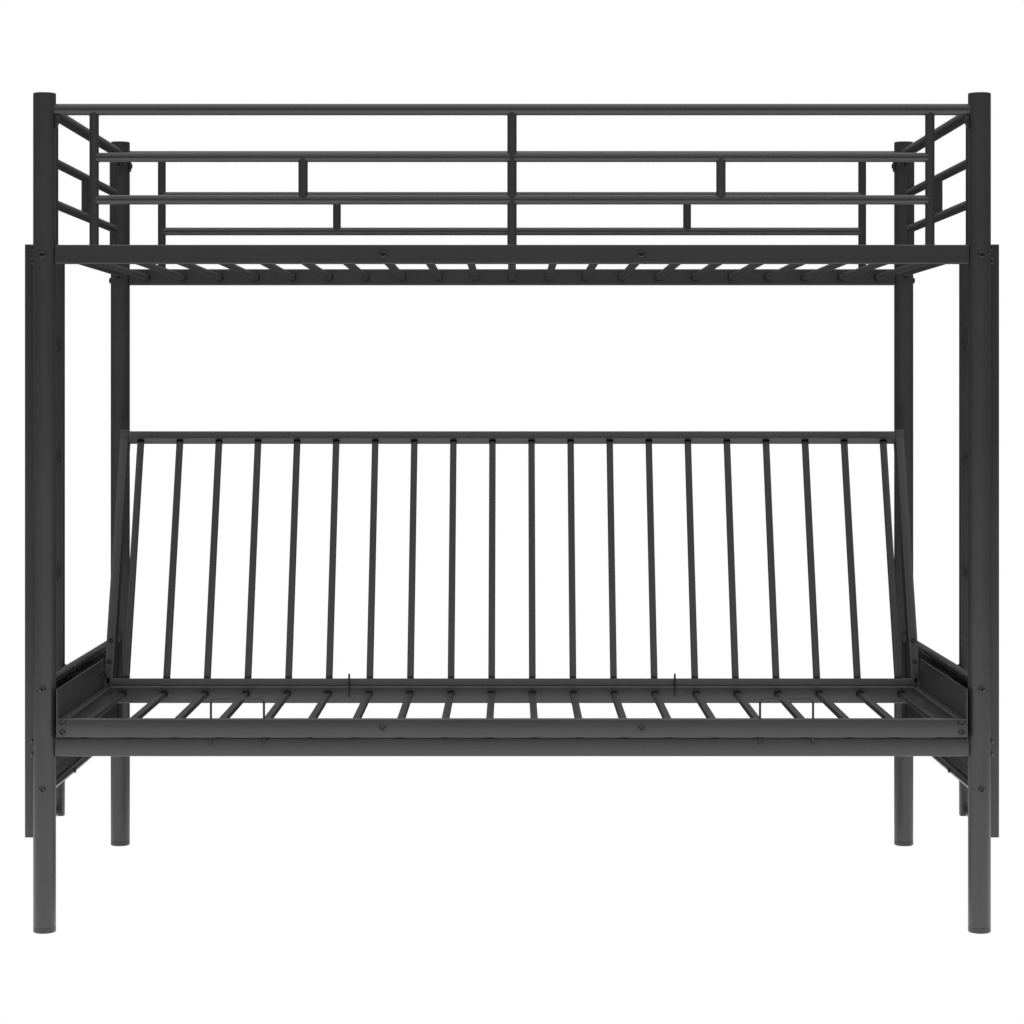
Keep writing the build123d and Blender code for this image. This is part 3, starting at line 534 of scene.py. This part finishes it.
def row_tree(paint):
    """Node tree that sets copies of a form in a row along X."""
    inputs = (("Form", "Geometry"), ("Count", "Int"), ("Pitch", "Float"), ("First place", "Float"))
    tree, given, identifiers = form_tree("row_of_slats", inputs)
    start = add_node(tree, "ShaderNodeCombineXYZ", {"X": given["First place"]}).outputs[0]
    step = add_node(tree, "ShaderNodeCombineXYZ", {"X": given["Pitch"]}).outputs[0]
    places = {"Count": given["Count"], "Start Location": start, "Offset": step}
    line = add_node(tree, "GeometryNodeMeshLine", places).outputs["Mesh"]
    copied = {"Points": line, "Instance": given["Form"]}
    end_tree(tree, add_node(tree, "GeometryNodeInstanceOnPoints", copied).outputs["Instances"], paint)
    return tree, identifiers


def welded_row(name, form, form_ends, count, pitch, finish, node):
    """A row of like tubes, even about the middle, in place of their CAD node, and the
    weld seams at their ends."""
    places = [(step - (count - 1) / 2) * pitch for step in range(count)]
    settings = {"Count": count, "Pitch": pitch, "First place": places[0]}
    made = made_by(row_tree(finish[0]), settings, mesh_of(f"one_of_{name}", [form]), name)
    link_piece(name, made, finish, node)
    seams = [[point + X * x for point in loop] for x in places for loop in form_ends]
    weld_seams(f"welds_of_{node}", seams, finish)


slat_width, slat_height, slat_wall, slat_corner = 16 * MM, 12 * MM, 0.7 * MM, 1.8 * MM
slat_shade_reach = 50 * MM
slat_section = rolled_section(slat_width, slat_height, slat_wall, slat_corner, crown=0.2 * MM)


def slats(name, node, count, inset, half_length, body, slot, shade, ior=1.55):
    """Slats across a frame, the outer ones set in from its ends. Their paint has painted shade near their
    ends.
    """
    middle, extent = box_size(node)
    low, high = middle.y - extent.y / 2, middle.y + extent.y / 2
    slat, slat_ends = straight_tube((0, 0, middle.z), Y, slat_section, low, high)
    # Painted shade on each slat near both ends, where it meets the rails.
    shaded_ends = (Y, low, high, slat_shade_reach)
    paint = powder_coat(f"satin_black_{node}", shade, 0.31, ior=ior, end_shade=shaded_ends)
    pitch = 2 * (half_length - inset) / (count - 1)
    welded_row(name, slat, slat_ends, count, pitch, (paint, body, slot), node)


deck_slat_count, deck_slat_inset = 21, 68 * MM
deck_row = (deck_slat_count, deck_slat_inset, post_x)
# The deck slats' paint is painted lighter than the frame's: a painted highlight for the light they catch
# from below.
slats("slats_of_deck", "deck_slats", *deck_row, *frame_steel[1:], shade=0.055)

# ------------------------ long guards
# Welded guards of round tube at the front and rear of the deck: a top rail from post to
# post, three uprights, two bars cut round them and two short uprights between the bars.
guard_rail_outside, guard_bar_outside, guard_wall = 24.5 * MM, 20 * MM, 0.9 * MM
guard_rail_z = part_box("guard_front")[1][2] - guard_rail_outside / 2
guard_mid_share, guard_low_share, guard_end_inset = 0.6463, 0.3324, 105 * MM
guard_mid_z = deck_top + (guard_rail_z - deck_top) * guard_mid_share
guard_low_z = deck_top + (guard_rail_z - deck_top) * guard_low_share
guard_end_x = post_x - guard_end_inset
guard_short_x = guard_end_x / 2
rail_section = round_section(guard_rail_outside, guard_wall, 64)
bar_section = round_section(guard_bar_outside, guard_wall, 64)
at_rail = guard_rail_outside / 2 + weld_gap
at_bar = guard_bar_outside / 2 + weld_gap


def guard(name, tubes, node):
    """A guard's tubes as one piece and their welds as another; the first tube is bolted."""
    made = [straight_tube(*tube) for tube in tubes]
    solid_piece(f"tubes_of_{name}", [shape for shape, _ in made], frame_steel, node)
    weld_seams(f"welds_of_{name}", [loop for _, loops in made[1:] for loop in loops], frame_steel)


for end, back in ends.items():
    y = back * post_y
    at_posts, under_rail = met_round(at_post, X, Z), met_round(at_rail, Z, X)
    at_upright, at_bars = met_round(at_bar, X, Z), met_round(at_bar, Z, X)
    tubes = [((0, y, guard_rail_z), X, rail_section, -post_x, post_x, at_posts, at_posts)]
    for x in (-guard_end_x, 0, guard_end_x):
        tubes.append(((x, y, 0), Z, bar_section, deck_top, guard_rail_z, None, under_rail))
    for z in (guard_low_z, guard_mid_z):
        for start, stop in ((-guard_end_x, 0), (0, guard_end_x)):
            tubes.append(((0, y, z), X, bar_section, start, stop, at_upright, at_upright))
    for x in (-guard_short_x, guard_short_x):
        tubes.append(((x, y, 0), Z, bar_section, guard_low_z, guard_mid_z, at_bars, at_bars))
    guard(f"{end}_guard", tubes, f"guard_{end}")

# ------------------------ end guards
# The same guard across each end: a thicker top bar between the posts, two uprights on
# the end rail, two bars and one short upright.
end_bar_outside, end_upright_inset = 25 * MM, 107 * MM
end_bar_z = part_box("end_guard_left")[1][2] - end_bar_outside / 2
end_upright_y = post_y - end_upright_inset
end_section = round_section(end_bar_outside, guard_wall, 64)
for side, way in sides.items():
    x = way * post_x
    at_upright, at_bars = met_round(at_bar, Y, Z), met_round(at_bar, Z, Y)
    under_bar = met_round(end_bar_outside / 2 + weld_gap, Z, Y)
    tubes = [((x, 0, end_bar_z), Y, end_section, -post_y, post_y, *end_at_posts)]
    for y in (-end_upright_y, end_upright_y):
        tubes.append(((x, y, 0), Z, bar_section, end_rail_top, end_bar_z, None, under_bar))
    for z in (guard_low_z, guard_mid_z):
        tubes.append(((x, 0, z), Y, bar_section, -end_upright_y, end_upright_y, at_upright, at_upright))
    tubes.append(((x, 0, 0), Z, bar_section, guard_low_z, guard_mid_z, at_bars, at_bars))
    guard(f"{side}_end_guard", tubes, f"end_guard_{side}")

# ------------------------ ladders
# An upright ladder outside each end: two rectangular tube stiles closed by plastic
# plugs, and five round rungs welded between them. Bosses hold it off the end rail and
# the end panel's tubes.
(_, ladder_front, ladder_bottom), (_, ladder_rear, ladder_top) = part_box("ladder_left")
stile_width, stile_depth, stile_corner = 35 * MM, 25 * MM, 4 * MM
ladder_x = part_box("ladder_right")[1][0] - stile_width / 2
stile_places = (ladder_front + stile_depth / 2, ladder_rear - stile_depth / 2)
rung_outside, rung_shares = 19 * MM, (0.008, 0.216, 0.427, 0.628, 0.828)
rung_low_y, rung_high_y = ladder_front + stile_depth + weld_gap, ladder_rear - stile_depth - weld_gap
boss_radius, boss_bore, boss_height = 8 * MM, 3.2 * MM, 2.9 * MM
panel_tube_outside = 19 * MM
panel_top_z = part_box("panel_frame_left")[1][2] - panel_tube_outside / 2
panel_low_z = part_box("panel_frame_left")[0][2] + panel_tube_outside / 2
stile_section = rolled_section(stile_width, stile_depth, tube_wall, stile_corner, crown=0.5 * MM)
rung_section = round_section(rung_outside, guard_wall, 64)
boss_section = round_section(2 * boss_radius, boss_radius - boss_bore, 40)
plug_lip, plug_lip_corner, plug_top_share = 1.4 * MM, 0.8 * MM, 0.955
plug_levels = (
    (ladder_top - plug_lip, 1.0),
    (ladder_top - plug_lip_corner, 1.0),
    (ladder_top, plug_top_share),
)


def sleeve(place, along, outline, levels):
    """A closed cap: rings of one outline, each (distance, scale), with flat ends."""
    along, side, up = axes_of(along)
    points, count = [], len(outline)
    for distance, scale in levels:
        points += [Vector(place) + (side * a + up * b) * scale + along * distance for a, b in outline]
    rings = [range(first, first + count) for first in range(0, len(points), count)]
    faces = [tuple(reversed(rings[0])), tuple(rings[-1])]
    return points, faces + [face for low, high in zip(rings, rings[1:]) for face in ring_faces(low, high)]


for side, way in sides.items():
    x = way * ladder_x
    shapes, seams = [], []
    for y in stile_places:
        shapes.append(straight_tube((x, y, 0), Z, stile_section, ladder_bottom, ladder_top - plug_lip)[0])
    for share in rung_shares:
        z = ladder_bottom + (ladder_top - ladder_bottom) * share
        shape, loops = straight_tube((x, 0, z), Y, rung_section, rung_low_y, rung_high_y)
        shapes.append(shape)
        seams.extend(loops)
    for y in stile_places:
        for z in (end_rail_z, panel_low_z, panel_top_z):
            inner = way * (ladder_x - stile_width / 2)
            start, stop = sorted((inner, inner - way * boss_height))
            shapes.append(straight_tube((0, y, z), X, boss_section, start, stop)[0])
    solid_piece(f"tubes_of_{side}_ladder", shapes, frame_steel, f"ladder_{side}")
    weld_seams(f"welds_of_{side}_ladder", seams, frame_steel, 1.0 * MM)
    plugs = [sleeve((x, y, 0), Z, stile_section[0], plug_levels) for y in stile_places]
    solid_piece(f"plugs_of_{side}_ladder", plugs, frame_plastic)

# ------------------------ end panels
# Under each end of the deck two round tubes and two flat strips hold a steel sheet with
# a rolled bead round its edge. The strips are bolted to the posts.
sheet_black = powder_coat("satin_black_sheet", 0.034, 0.36, peel=520.0)
# The panel sheet's paint is painted far darker and less glossy than the frame's: painted shade on its inner
# face.
panel_shaded_black = powder_coat("shaded_black_panel_sheet", 0.008, 0.50, peel=520.0, ior=1.25)
panel_finish = (panel_shaded_black, "frame", "sheet_paint")
strip_width, strip_thickness, strip_corner = 20 * MM, 3 * MM, 4 * MM
sheet_middle, sheet_size = box_size("panel_sheet_right")
panel_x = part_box("panel_sheet_right")[0][0] + 0.6 * MM
panel_reach = tab_y - strip_thickness - weld_gap
panel_section = round_section(panel_tube_outside, guard_wall, 64)
bead_inset, bead_width, bead_rise = 26 * MM, 7 * MM, 0.5 * MM


def pressed(distance):
    """How far the sheet stands out at a distance from its edge."""
    share = min(1.0, abs(distance - bead_inset) / bead_width)
    return bead_rise * (1 - share * share * (3 - 2 * share))


for side, way in sides.items():
    x = way * panel_x
    shapes, seams = [], []
    for z in (panel_low_z, panel_top_z):
        shape, loops = straight_tube((x, 0, z), Y, panel_section, -panel_reach, panel_reach)
        shapes.append(shape)
        seams.extend(loops)
    strip_top, strip_bottom = panel_top_z + panel_tube_outside / 2, panel_low_z - panel_tube_outside / 2
    hang = tab_outline(x, strip_top, strip_bottom, strip_width, strip_corner)
    shapes += [standing_plate(hang, start, strip_thickness) for start in (-tab_y, tab_y - strip_thickness)]
    solid_piece(f"frame_of_{side}_panel", shapes, frame_steel, f"panel_frame_{side}")
    weld_seams(f"welds_of_{side}_panel", seams, frame_steel)
    steps_y, steps_z = 180, 48
    points, faces = [], []
    for row_z in range(steps_z + 1):
        up = sheet_size.z / 2 * (2 * row_z / steps_z - 1)
        for row_y in range(steps_y + 1):
            y = panel_reach * (2 * row_y / steps_y - 1)
            edge = min(panel_reach - abs(y), sheet_size.z / 2 - abs(up))
            points.append(Vector((x + way * (pressed(edge) - sheet_size.x / 2), y, sheet_middle.z + up)))
            if row_z < steps_z and row_y < steps_y:
                first = row_z * (steps_y + 1) + row_y
                face = (first, first + 1, first + steps_y + 2, first + steps_y + 1)
                faces.append(face if way < 0 else tuple(reversed(face)))
    sheet = solid_piece(f"sheet_of_{side}_panel", [(points, faces)], panel_finish, f"panel_sheet_{side}")
    wall = sheet.modifiers.new("wall", "SOLIDIFY")
    wall.thickness = sheet_size.x
    wall.offset = -1.0

# ------------------------ stretchers
# Two rectangular tubes join the posts under the seat. The front one carries the seat's
# plastic glide pads, the rear one lies lower, with pads for the lowered backrest.
stretcher_size = box_size("stretcher_front")[1]
stretcher_section = rolled_section(stretcher_size.y, stretcher_size.z, tube_wall, crown=0.8 * MM)
for end, back in ends.items():
    place = (0, back * post_y, box_size(f"stretcher_{end}")[0].z)
    tube, _ = straight_tube(place, X, stretcher_section, -post_x, post_x, *short_of_posts)
    solid_piece(f"tube_of_{end}_stretcher", [tube], frame_steel, f"stretcher_{end}")


def finished(node, paint, edge):
    """Keeps a CAD node's own shape, with its sharp edges eased and its finish put on."""
    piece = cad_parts[node]
    piece.data.materials.clear()
    piece.data.materials.append(paint)
    joined = piece.modifiers.new("joined", "WELD")
    joined.merge_threshold = 0.00001
    eased = piece.modifiers.new("eased", "BEVEL")
    eased.width = edge
    eased.segments = 2
    eased.limit_method = "ANGLE"
    eased.angle_limit = math.radians(35)
    eased.harden_normals = False


for node in ("glide_pads", "rest_pads"):
    finished(node, moulded_black, 0.6 * MM)

# ------------------------ slide tracks and blocks
# A folded steel channel on each end panel guides a plastic block on the seat's side
# plate when the seat is pulled out. The block has rubbed the channel's paint in streaks.
track_black = powder_coat("rubbed_track_paint", 0.040, 0.30, streak=(1.0, 0.06, 1.0))
for side in sides:
    finished(f"slide_track_{side}", track_black, 0.5 * MM)
    finished(f"slide_block_{side}", moulded_black, 0.8 * MM)

# ------------------------ guard tabs
# Small steel tabs welded under the ends of the guards' top rails take the bolts that
# hold the guards to the posts.
finished("guard_tabs", frame_steel[0], 0.4 * MM)

# ------------------------ seat frame
# Rectangular tube rails joined by side tubes, with a tall steel plate outside each side
# tube that carries the slide block and the backrest's hinge.
seat_black = powder_coat("satin_black_seat", 0.036, 0.31)
seat_steel = (seat_black, "seat", "seat_paint")
front_middle, front_size = box_size("seat_front_rail")
rear_middle, rear_size = box_size("seat_rear_rail")
seat_section = rolled_section(front_size.y, front_size.z, tube_wall, crown=0.8 * MM)
for end, middle, extent in (("front", front_middle, front_size), ("rear", rear_middle, rear_size)):
    tube, _ = straight_tube((0, middle.y, middle.z), X, seat_section, -extent.x / 2, extent.x / 2)
    solid_piece(f"tube_of_seat_{end}_rail", [tube], seat_steel, f"seat_{end}_rail")
for side in sides:
    middle, extent = box_size(f"seat_side_tube_{side}")
    section = rolled_section(extent.x, extent.z, tube_wall, crown=0.4 * MM)
    low, high = middle.y - extent.y / 2, middle.y + extent.y / 2
    tube, _ = straight_tube((middle.x, 0, middle.z), Y, section, low, high)
    solid_piece(f"tube_of_seat_side_{side}", [tube], seat_steel, f"seat_side_tube_{side}")
    finished(f"seat_side_plate_{side}", sheet_black, 0.5 * MM)

# ------------------------ seat slats
# Twenty slats of the same thin tube as the deck's, welded between the seat's rails.
# Their paint is painted darker and less glossy than the frame's: painted shade.
seat_slat_count, seat_slat_inset = 20, 50 * MM
seat_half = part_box("seat_side_plate_right")[1][0]
seat_row = (seat_slat_count, seat_slat_inset, seat_half)
slats("slats_of_seat", "seat_slats", *seat_row, *seat_steel[1:], shade=0.018, ior=1.40)

# ------------------------ wires
# Round steel wire, bent cold and powder coated: two stops at the seat's front hold the
# mattress, and two small loops stand on its rear rail.
wire_finish = (powder_coat("black_wire_paint", 0.014, 0.36), "seat", "wire_black")


def bent_wire(name, routes, radius, bend, node):
    """Smooth bent wire along corner points, its ends closed, as one piece."""
    curve = bpy.data.curves.new(f"route_of_{name}", "CURVE")
    curve.dimensions = "3D"
    curve.bevel_depth = radius
    curve.bevel_resolution = 5
    curve.use_fill_caps = True
    for route in routes:
        route = [Vector(point) for point in route]
        points = [route[0]]
        for before, corner, after in zip(route, route[1:], route[2:]):
            back, on = (before - corner).normalized(), (after - corner).normalized()
            half = back.angle(on) / 2
            reach = bend / math.tan(half)
            centre = corner + (back + on).normalized() * (bend / math.sin(half))
            first, last = corner + back * reach - centre, corner + on * reach - centre
            turn = first.angle(last)
            for share in [step / 12 for step in range(13)]:
                near = math.sin((1 - share) * turn) / math.sin(turn)
                far = math.sin(share * turn) / math.sin(turn)
                points.append(centre + first * near + last * far)
        points.append(route[-1])
        line = curve.splines.new("POLY")
        line.points.add(len(points) - 1)
        for knot, point in zip(line.points, points):
            knot.co = (*point, 1.0)
    holder = placed(f"route_of_{name}", curve)
    bpy.context.view_layer.update()
    mesh = bpy.data.meshes.new_from_object(holder.evaluated_get(bpy.context.evaluated_depsgraph_get()))
    bpy.data.objects.remove(holder)
    link_piece(name, mesh, wire_finish, node)


def bridge(first, second, foot, top, second_foot):
    """A wire's corner points: up from a foot, across and down again; feet are (x, y)."""
    return [(*first, foot), (*first, top), (*second, top), (*second, second_foot)]


stop_low, stop_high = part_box("mattress_stops")
stop_radius, stop_bend, stop_inner_x = 2.5 * MM, 12 * MM, 524 * MM
stop_outer_x, stop_top = stop_high[0] - stop_radius, stop_high[2] - stop_radius
stop_y = (stop_low[1] + stop_high[1]) / 2
stop_routes = [
    bridge((way * stop_inner_x, stop_y), (way * stop_outer_x, stop_y), stop_low[2], stop_top, stop_low[2])
    for way in sides.values()
]
bent_wire("wire_of_mattress_stops", stop_routes, stop_radius, stop_bend, "mattress_stops")
loop_low, loop_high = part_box("wire_loops")
loop_radius = 2 * MM
loop_x, loop_top = loop_high[0] - loop_radius, loop_high[2] - loop_radius
loop_front, loop_back = loop_low[1] + loop_radius, loop_high[1] - loop_radius
loop_rear_foot = rear_middle.z + rear_size.z / 2 - 0.3 * MM
loop_routes = [
    bridge((way * loop_x, loop_front), (way * loop_x, loop_back), loop_low[2], loop_top, loop_rear_foot)
    for way in sides.values()
]
bent_wire("wire_of_rear_loops", loop_routes, loop_radius, (loop_back - loop_front) / 2 * 0.98, "wire_loops")

# ------------------------ backrest
# A leaning frame of rectangular tube: top and bottom rail, two side tubes, and twenty
# thin bars set back from its front. It hinges at its foot and folds flat.
lean = math.radians(23.24)
hinge = Vector((0, 74 * MM, 450 * MM))
up_back = Vector((0, math.sin(lean), math.cos(lean)))
out_front = Vector((0, -math.cos(lean), math.sin(lean)))
back_depth, back_rail_height, back_side_width = 40 * MM, 20 * MM, 22 * MM
back_face = -2.1 * MM
back_middle = back_face - back_depth / 2
back_low_start, back_top_end = 2.9 * MM, 653 * MM
back_low_end, back_top_start = back_low_start + back_rail_height, back_top_end - back_rail_height
side_x = seat_half - back_side_width / 2
back_steel = (seat_black, "backrest", "seat_paint")


def leaning_rail(start, half):
    """A backrest rail along X, its section turned square to the lean."""
    section = rolled_section(back_depth, back_rail_height, tube_wall, crown=0.3 * MM)
    section = [[(out_front * a + up_back * b).yz for a, b in reversed(outline)] for outline in section]
    place = hinge + up_back * (start + back_rail_height / 2) + out_front * back_middle
    return straight_tube(place, X, section, -half, half)[0]


rail_ends = {
    "bottom": (back_low_start, seat_half - 14 * MM),
    "top": (back_top_start, seat_half - back_side_width),
}
for which, (start, half) in rail_ends.items():
    rail = leaning_rail(start, half)
    solid_piece(f"tube_of_backrest_{which}", [rail], back_steel, f"backrest_{which}_rail")
side_section = rolled_section(back_side_width, back_depth, tube_wall)
side_places = {side: hinge + X * (way * side_x) + out_front * back_middle for side, way in sides.items()}
for side, place in side_places.items():
    tube, _ = straight_tube(place, up_back, side_section, back_low_end, back_top_end)
    solid_piece(f"tube_of_backrest_side_{side}", [tube], back_steel, f"backrest_side_{side}")

bar_width, bar_depth, bar_recess, bar_shade_reach = 16 * MM, 16 * MM, 10 * MM, 12 * MM
bar_section = rolled_section(bar_width, bar_depth, slat_wall, slat_corner, crown=0.25 * MM)
bar_place = hinge + out_front * (back_face - bar_recess - bar_depth / 2)
bar, bar_ends = straight_tube(bar_place, up_back, bar_section, back_low_end, back_top_start)
up_hinge = hinge.dot(up_back)
# Painted shade darkens each bar near both ends, where it meets the rails.
bar_shaded_ends = (up_back, up_hinge + back_low_end, up_hinge + back_top_start, bar_shade_reach)
bar_black = powder_coat("satin_black_backrest_bars", 0.030, 0.31, end_shade=bar_shaded_ends)
bar_finish = (bar_black, "backrest", "seat_paint")
bar_pitch = 2 * (seat_half - seat_slat_inset) / (seat_slat_count - 1)
welded_row("bars_of_backrest", bar, bar_ends, seat_slat_count, bar_pitch, bar_finish, "backrest_bars")

# ------------------------ backrest corner caps
# Moulded caps pushed over the side tubes' top ends, as deep as the top rail, with
# rounded upper edges.
cap_rise, cap_wall, cap_corner = 3.5 * MM, 0.35 * MM, 2.6 * MM
cap_width, cap_depth = back_side_width + 2 * cap_wall, back_depth + 2 * cap_wall
cap_outline = rolled_section(cap_width, cap_depth, tube_wall, cap_corner, crown=0.3 * MM)[0]
cap_end = back_top_end + cap_rise
cap_levels = (
    (back_top_start, 0.985),
    (back_top_start + 0.4 * MM, 1.0),
    (cap_end - 1.6 * MM, 1.0),
    (cap_end - 0.5 * MM, 0.965),
    (cap_end, 0.9),
)
caps = [sleeve(place, up_back, cap_outline, cap_levels) for place in side_places.values()]
solid_piece("caps_of_backrest", caps, (moulded_black, "backrest", "black_plastic"), "backrest_caps")

# ------------------------ hinges
# Steel ears bolted behind the backrest's side tubes turn on pins through the seat's
# side plates, with a washer between; rivets hold the slide blocks to the plates.
bolt_black = powder_coat("black_oxide", 0.014, 0.24, peel=1400.0, lift=0.00001)
for side in sides:
    finished(f"hinge_bracket_{side}", sheet_black, 0.4 * MM)
for node in ("hinge_pins", "hinge_washers", "block_rivets"):
    finished(node, bolt_black, 0.5 * MM)

# ------------------------ bolts
# Black button-head bolts with a hex socket hold every joint: through the posts into the
# rails, stretchers and end panels, and through the seat's and the backrest's corners.


def bolt_form(head_radius, head_height, shank_length):
    """A button-head bolt standing on the XY plane, its socket up and its shank below."""
    segments, shank_radius, socket_across = 36, 3 * MM, 5.6 * MM
    flat_turns = [math.radians((step * 10 + 30) % 60 - 30) for step in range(segments)]
    hexagon = [socket_across / 2 / math.cos(turn) for turn in flat_turns]
    rim, land = 0.9 * MM, 3.9 * MM
    profile = [
        (0.0, -shank_length),
        (shank_radius - 0.6 * MM, -shank_length),
        (shank_radius, -shank_length + 0.7 * MM),
        (shank_radius, 0.0),
        (head_radius - 0.25 * MM, 0.0),
        (head_radius, 0.25 * MM),
        (head_radius, rim),
    ]
    for tilt in [math.radians(angle) for angle in range(15, 91, 15)]:
        out, up = (head_radius - land) * math.cos(tilt), (head_height - rim) * math.sin(tilt)
        profile.append((land + out, rim + up))
    socket_steps = ((1.04, 0.1 * MM), (1.0, 0.45 * MM), (1.0, 3.4 * MM), (0.72, 5.2 * MM), (0.5, 8.0 * MM))
    profile += [(share, head_height - depth, hexagon) for share, depth in socket_steps]
    profile.append((0.0, head_height - 8.4 * MM))
    return mesh_of("bolt_form", [turned(profile, segments=segments)])


def bolt_tree(paint):
    """Node tree that stands a bolt on each point, its head facing along the point's
    attribute out, and turns each by chance about its own axis."""
    inputs = (("Places", "Geometry"), ("Bolt", "Object"), ("Seed", "Int"))
    tree, given, identifiers = form_tree("bolts_on_points", inputs)
    shape = add_node(tree, "GeometryNodeObjectInfo", {"Object": given["Bolt"]}).outputs["Geometry"]
    facing = add_node(tree, "GeometryNodeInputNamedAttribute", {"Name": "out"}, data_type="FLOAT_VECTOR")
    facing = {"Vector": facing.outputs["Attribute"]}
    aim = add_node(tree, "FunctionNodeAlignRotationToVector", facing, axis="Z").outputs["Rotation"]
    drawn = {"Max": math.pi / 3, "Seed": given["Seed"]}
    chance = add_node(tree, "FunctionNodeRandomValue", drawn, data_type="FLOAT")
    angle = [socket for socket in chance.outputs if socket.enabled][0]
    about_axis = {"Axis": (0, 0, 1), "Angle": angle}
    spin = add_node(tree, "FunctionNodeAxisAngleToRotation", about_axis).outputs["Rotation"]
    turning = {"Rotation": aim, "Rotate By": spin}
    turn = add_node(tree, "FunctionNodeRotateRotation", turning, rotation_space="LOCAL").outputs["Rotation"]
    copied = {"Points": given["Places"], "Instance": shape, "Rotation": turn}
    end_tree(tree, add_node(tree, "GeometryNodeInstanceOnPoints", copied).outputs["Instances"], paint)
    return tree, identifiers


def bolt_group(name, head_radius, shank_length, body, places, node, seed):
    """Bolts at (point, facing) places as one piece in place of their CAD node."""
    form = placed(f"form_of_{name}", bolt_form(head_radius, head_height, shank_length))
    mesh = bpy.data.meshes.new(f"places_of_{name}")
    mesh.from_pydata([place for place, _ in places], [], [])
    facing = mesh.attributes.new("out", "FLOAT_VECTOR", "POINT")
    for index, (_, out) in enumerate(places):
        facing.data[index].vector = out
    made = made_by(bolt_tree(bolt_black), {"Bolt": form, "Seed": seed}, mesh, name)
    bpy.data.objects.remove(form)
    link_piece(name, made, (bolt_black, body, "black_bolt"), node)


button_head, small_head, head_height = 7.5 * MM, 6 * MM, 4 * MM
pair_half, rear_drop, rail_bolt_x, seat_bolt_half = 14 * MM, 8.5 * MM, 273 * MM, 9.5 * MM
rail_bolt_steps = {"front": (-pair_half, pair_half), "rear": (-rear_drop,)}
rail_bolt_heights = {
    end: [middle + step for middle in (deck_middle.z, box_size(f"stretcher_{end}")[0].z) for step in steps]
    for end, steps in rail_bolt_steps.items()
}
panel_bolt_heights = (end_rail_bottom - 4 * MM, panel_top_z - 9.5 * MM, panel_low_z + 8.5 * MM)
ladder_bolt_seats = (
    (end_rail_width, end_rail_z),
    (panel_tube_outside, panel_low_z),
    (panel_tube_outside, panel_top_z),
)
outer_x, outer_y = post_x + at_post, post_y + at_post
tab_face = 2.2 * MM
tab_inner_x, tab_inner_y = post_x - at_post - tab_face, tab_y - tab_face
guard_bolt_z, end_bolt_z = guard_rail_z - 26 * MM, end_bar_z - 29 * MM
seat_front = front_middle.y - front_size.y / 2
side_tube_x = box_size("seat_side_tube_right")[0].x
back_bolt_steps = (64 * MM, 116 * MM)
both = (-1, 1)
seat_bolt_places = [(way * side_tube_x, step) for way in both for step in (-seat_bolt_half, seat_bolt_half)]
seat_bolt_places += [(way * rail_bolt_x, 0.0) for way in both]
# for each CAD node: name, head's radius, shank's length, body, and each bolt's point and facing
bolt_groups = {
    "rail_bolts": ("rails", button_head, 72.2 * MM, "frame", [
        (Vector((way * outer_x, back * post_y, z)), X * way)
        for way in both for end, back in ends.items() for z in rail_bolt_heights[end]
    ]),
    "end_frame_bolts": ("end_frames", button_head, 51.2 * MM, "frame", [
        (Vector((x, way * outer_y, z)), Y * way)
        for way in both for x in (-post_x, post_x) for z in panel_bolt_heights
    ]),
    "guard_bolts": ("guards", button_head, 14 * MM, "frame", [
        (Vector((way * tab_inner_x, y, guard_bolt_z)), X * -way) for way in both for y in (-post_y, post_y)
    ]),
    "end_guard_bolts": ("end_guards", button_head, 14 * MM, "frame", [
        (Vector((x, way * tab_inner_y, end_bolt_z)), Y * -way) for way in both for x in (-post_x, post_x)
    ]),
    "deck_bolts": ("deck", button_head, 20 * MM, "frame", [
        (Vector((x, way * (post_y + deck_size.y / 2), deck_middle.z)), Y * way)
        for way in both for x in (-rail_bolt_x, rail_bolt_x)
    ]),
    "ladder_bolts": ("ladders", small_head, 37 * MM, "frame", [
        (Vector((way * (post_x + end_rail_width / 2 - width), y, z)), X * -way)
        for way in both for y in stile_places for width, z in ladder_bolt_seats
    ]),
    "seat_bolts": ("seat", button_head, 34 * MM, "seat", [
        (Vector((x, seat_front, front_middle.z + step)), -Y) for x, step in seat_bolt_places
    ]),
    "backrest_bolts": ("backrest", small_head, 54 * MM, "backrest", [
        (hinge + X * (way * side_x) + up_back * up + out_front * back_face, out_front)
        for way in both for up in back_bolt_steps
    ]),
}
for seed, (node, (name, *bolt)) in enumerate(bolt_groups.items(), 1):
    bolt_group(f"bolts_of_{name}", *bolt, node, seed)
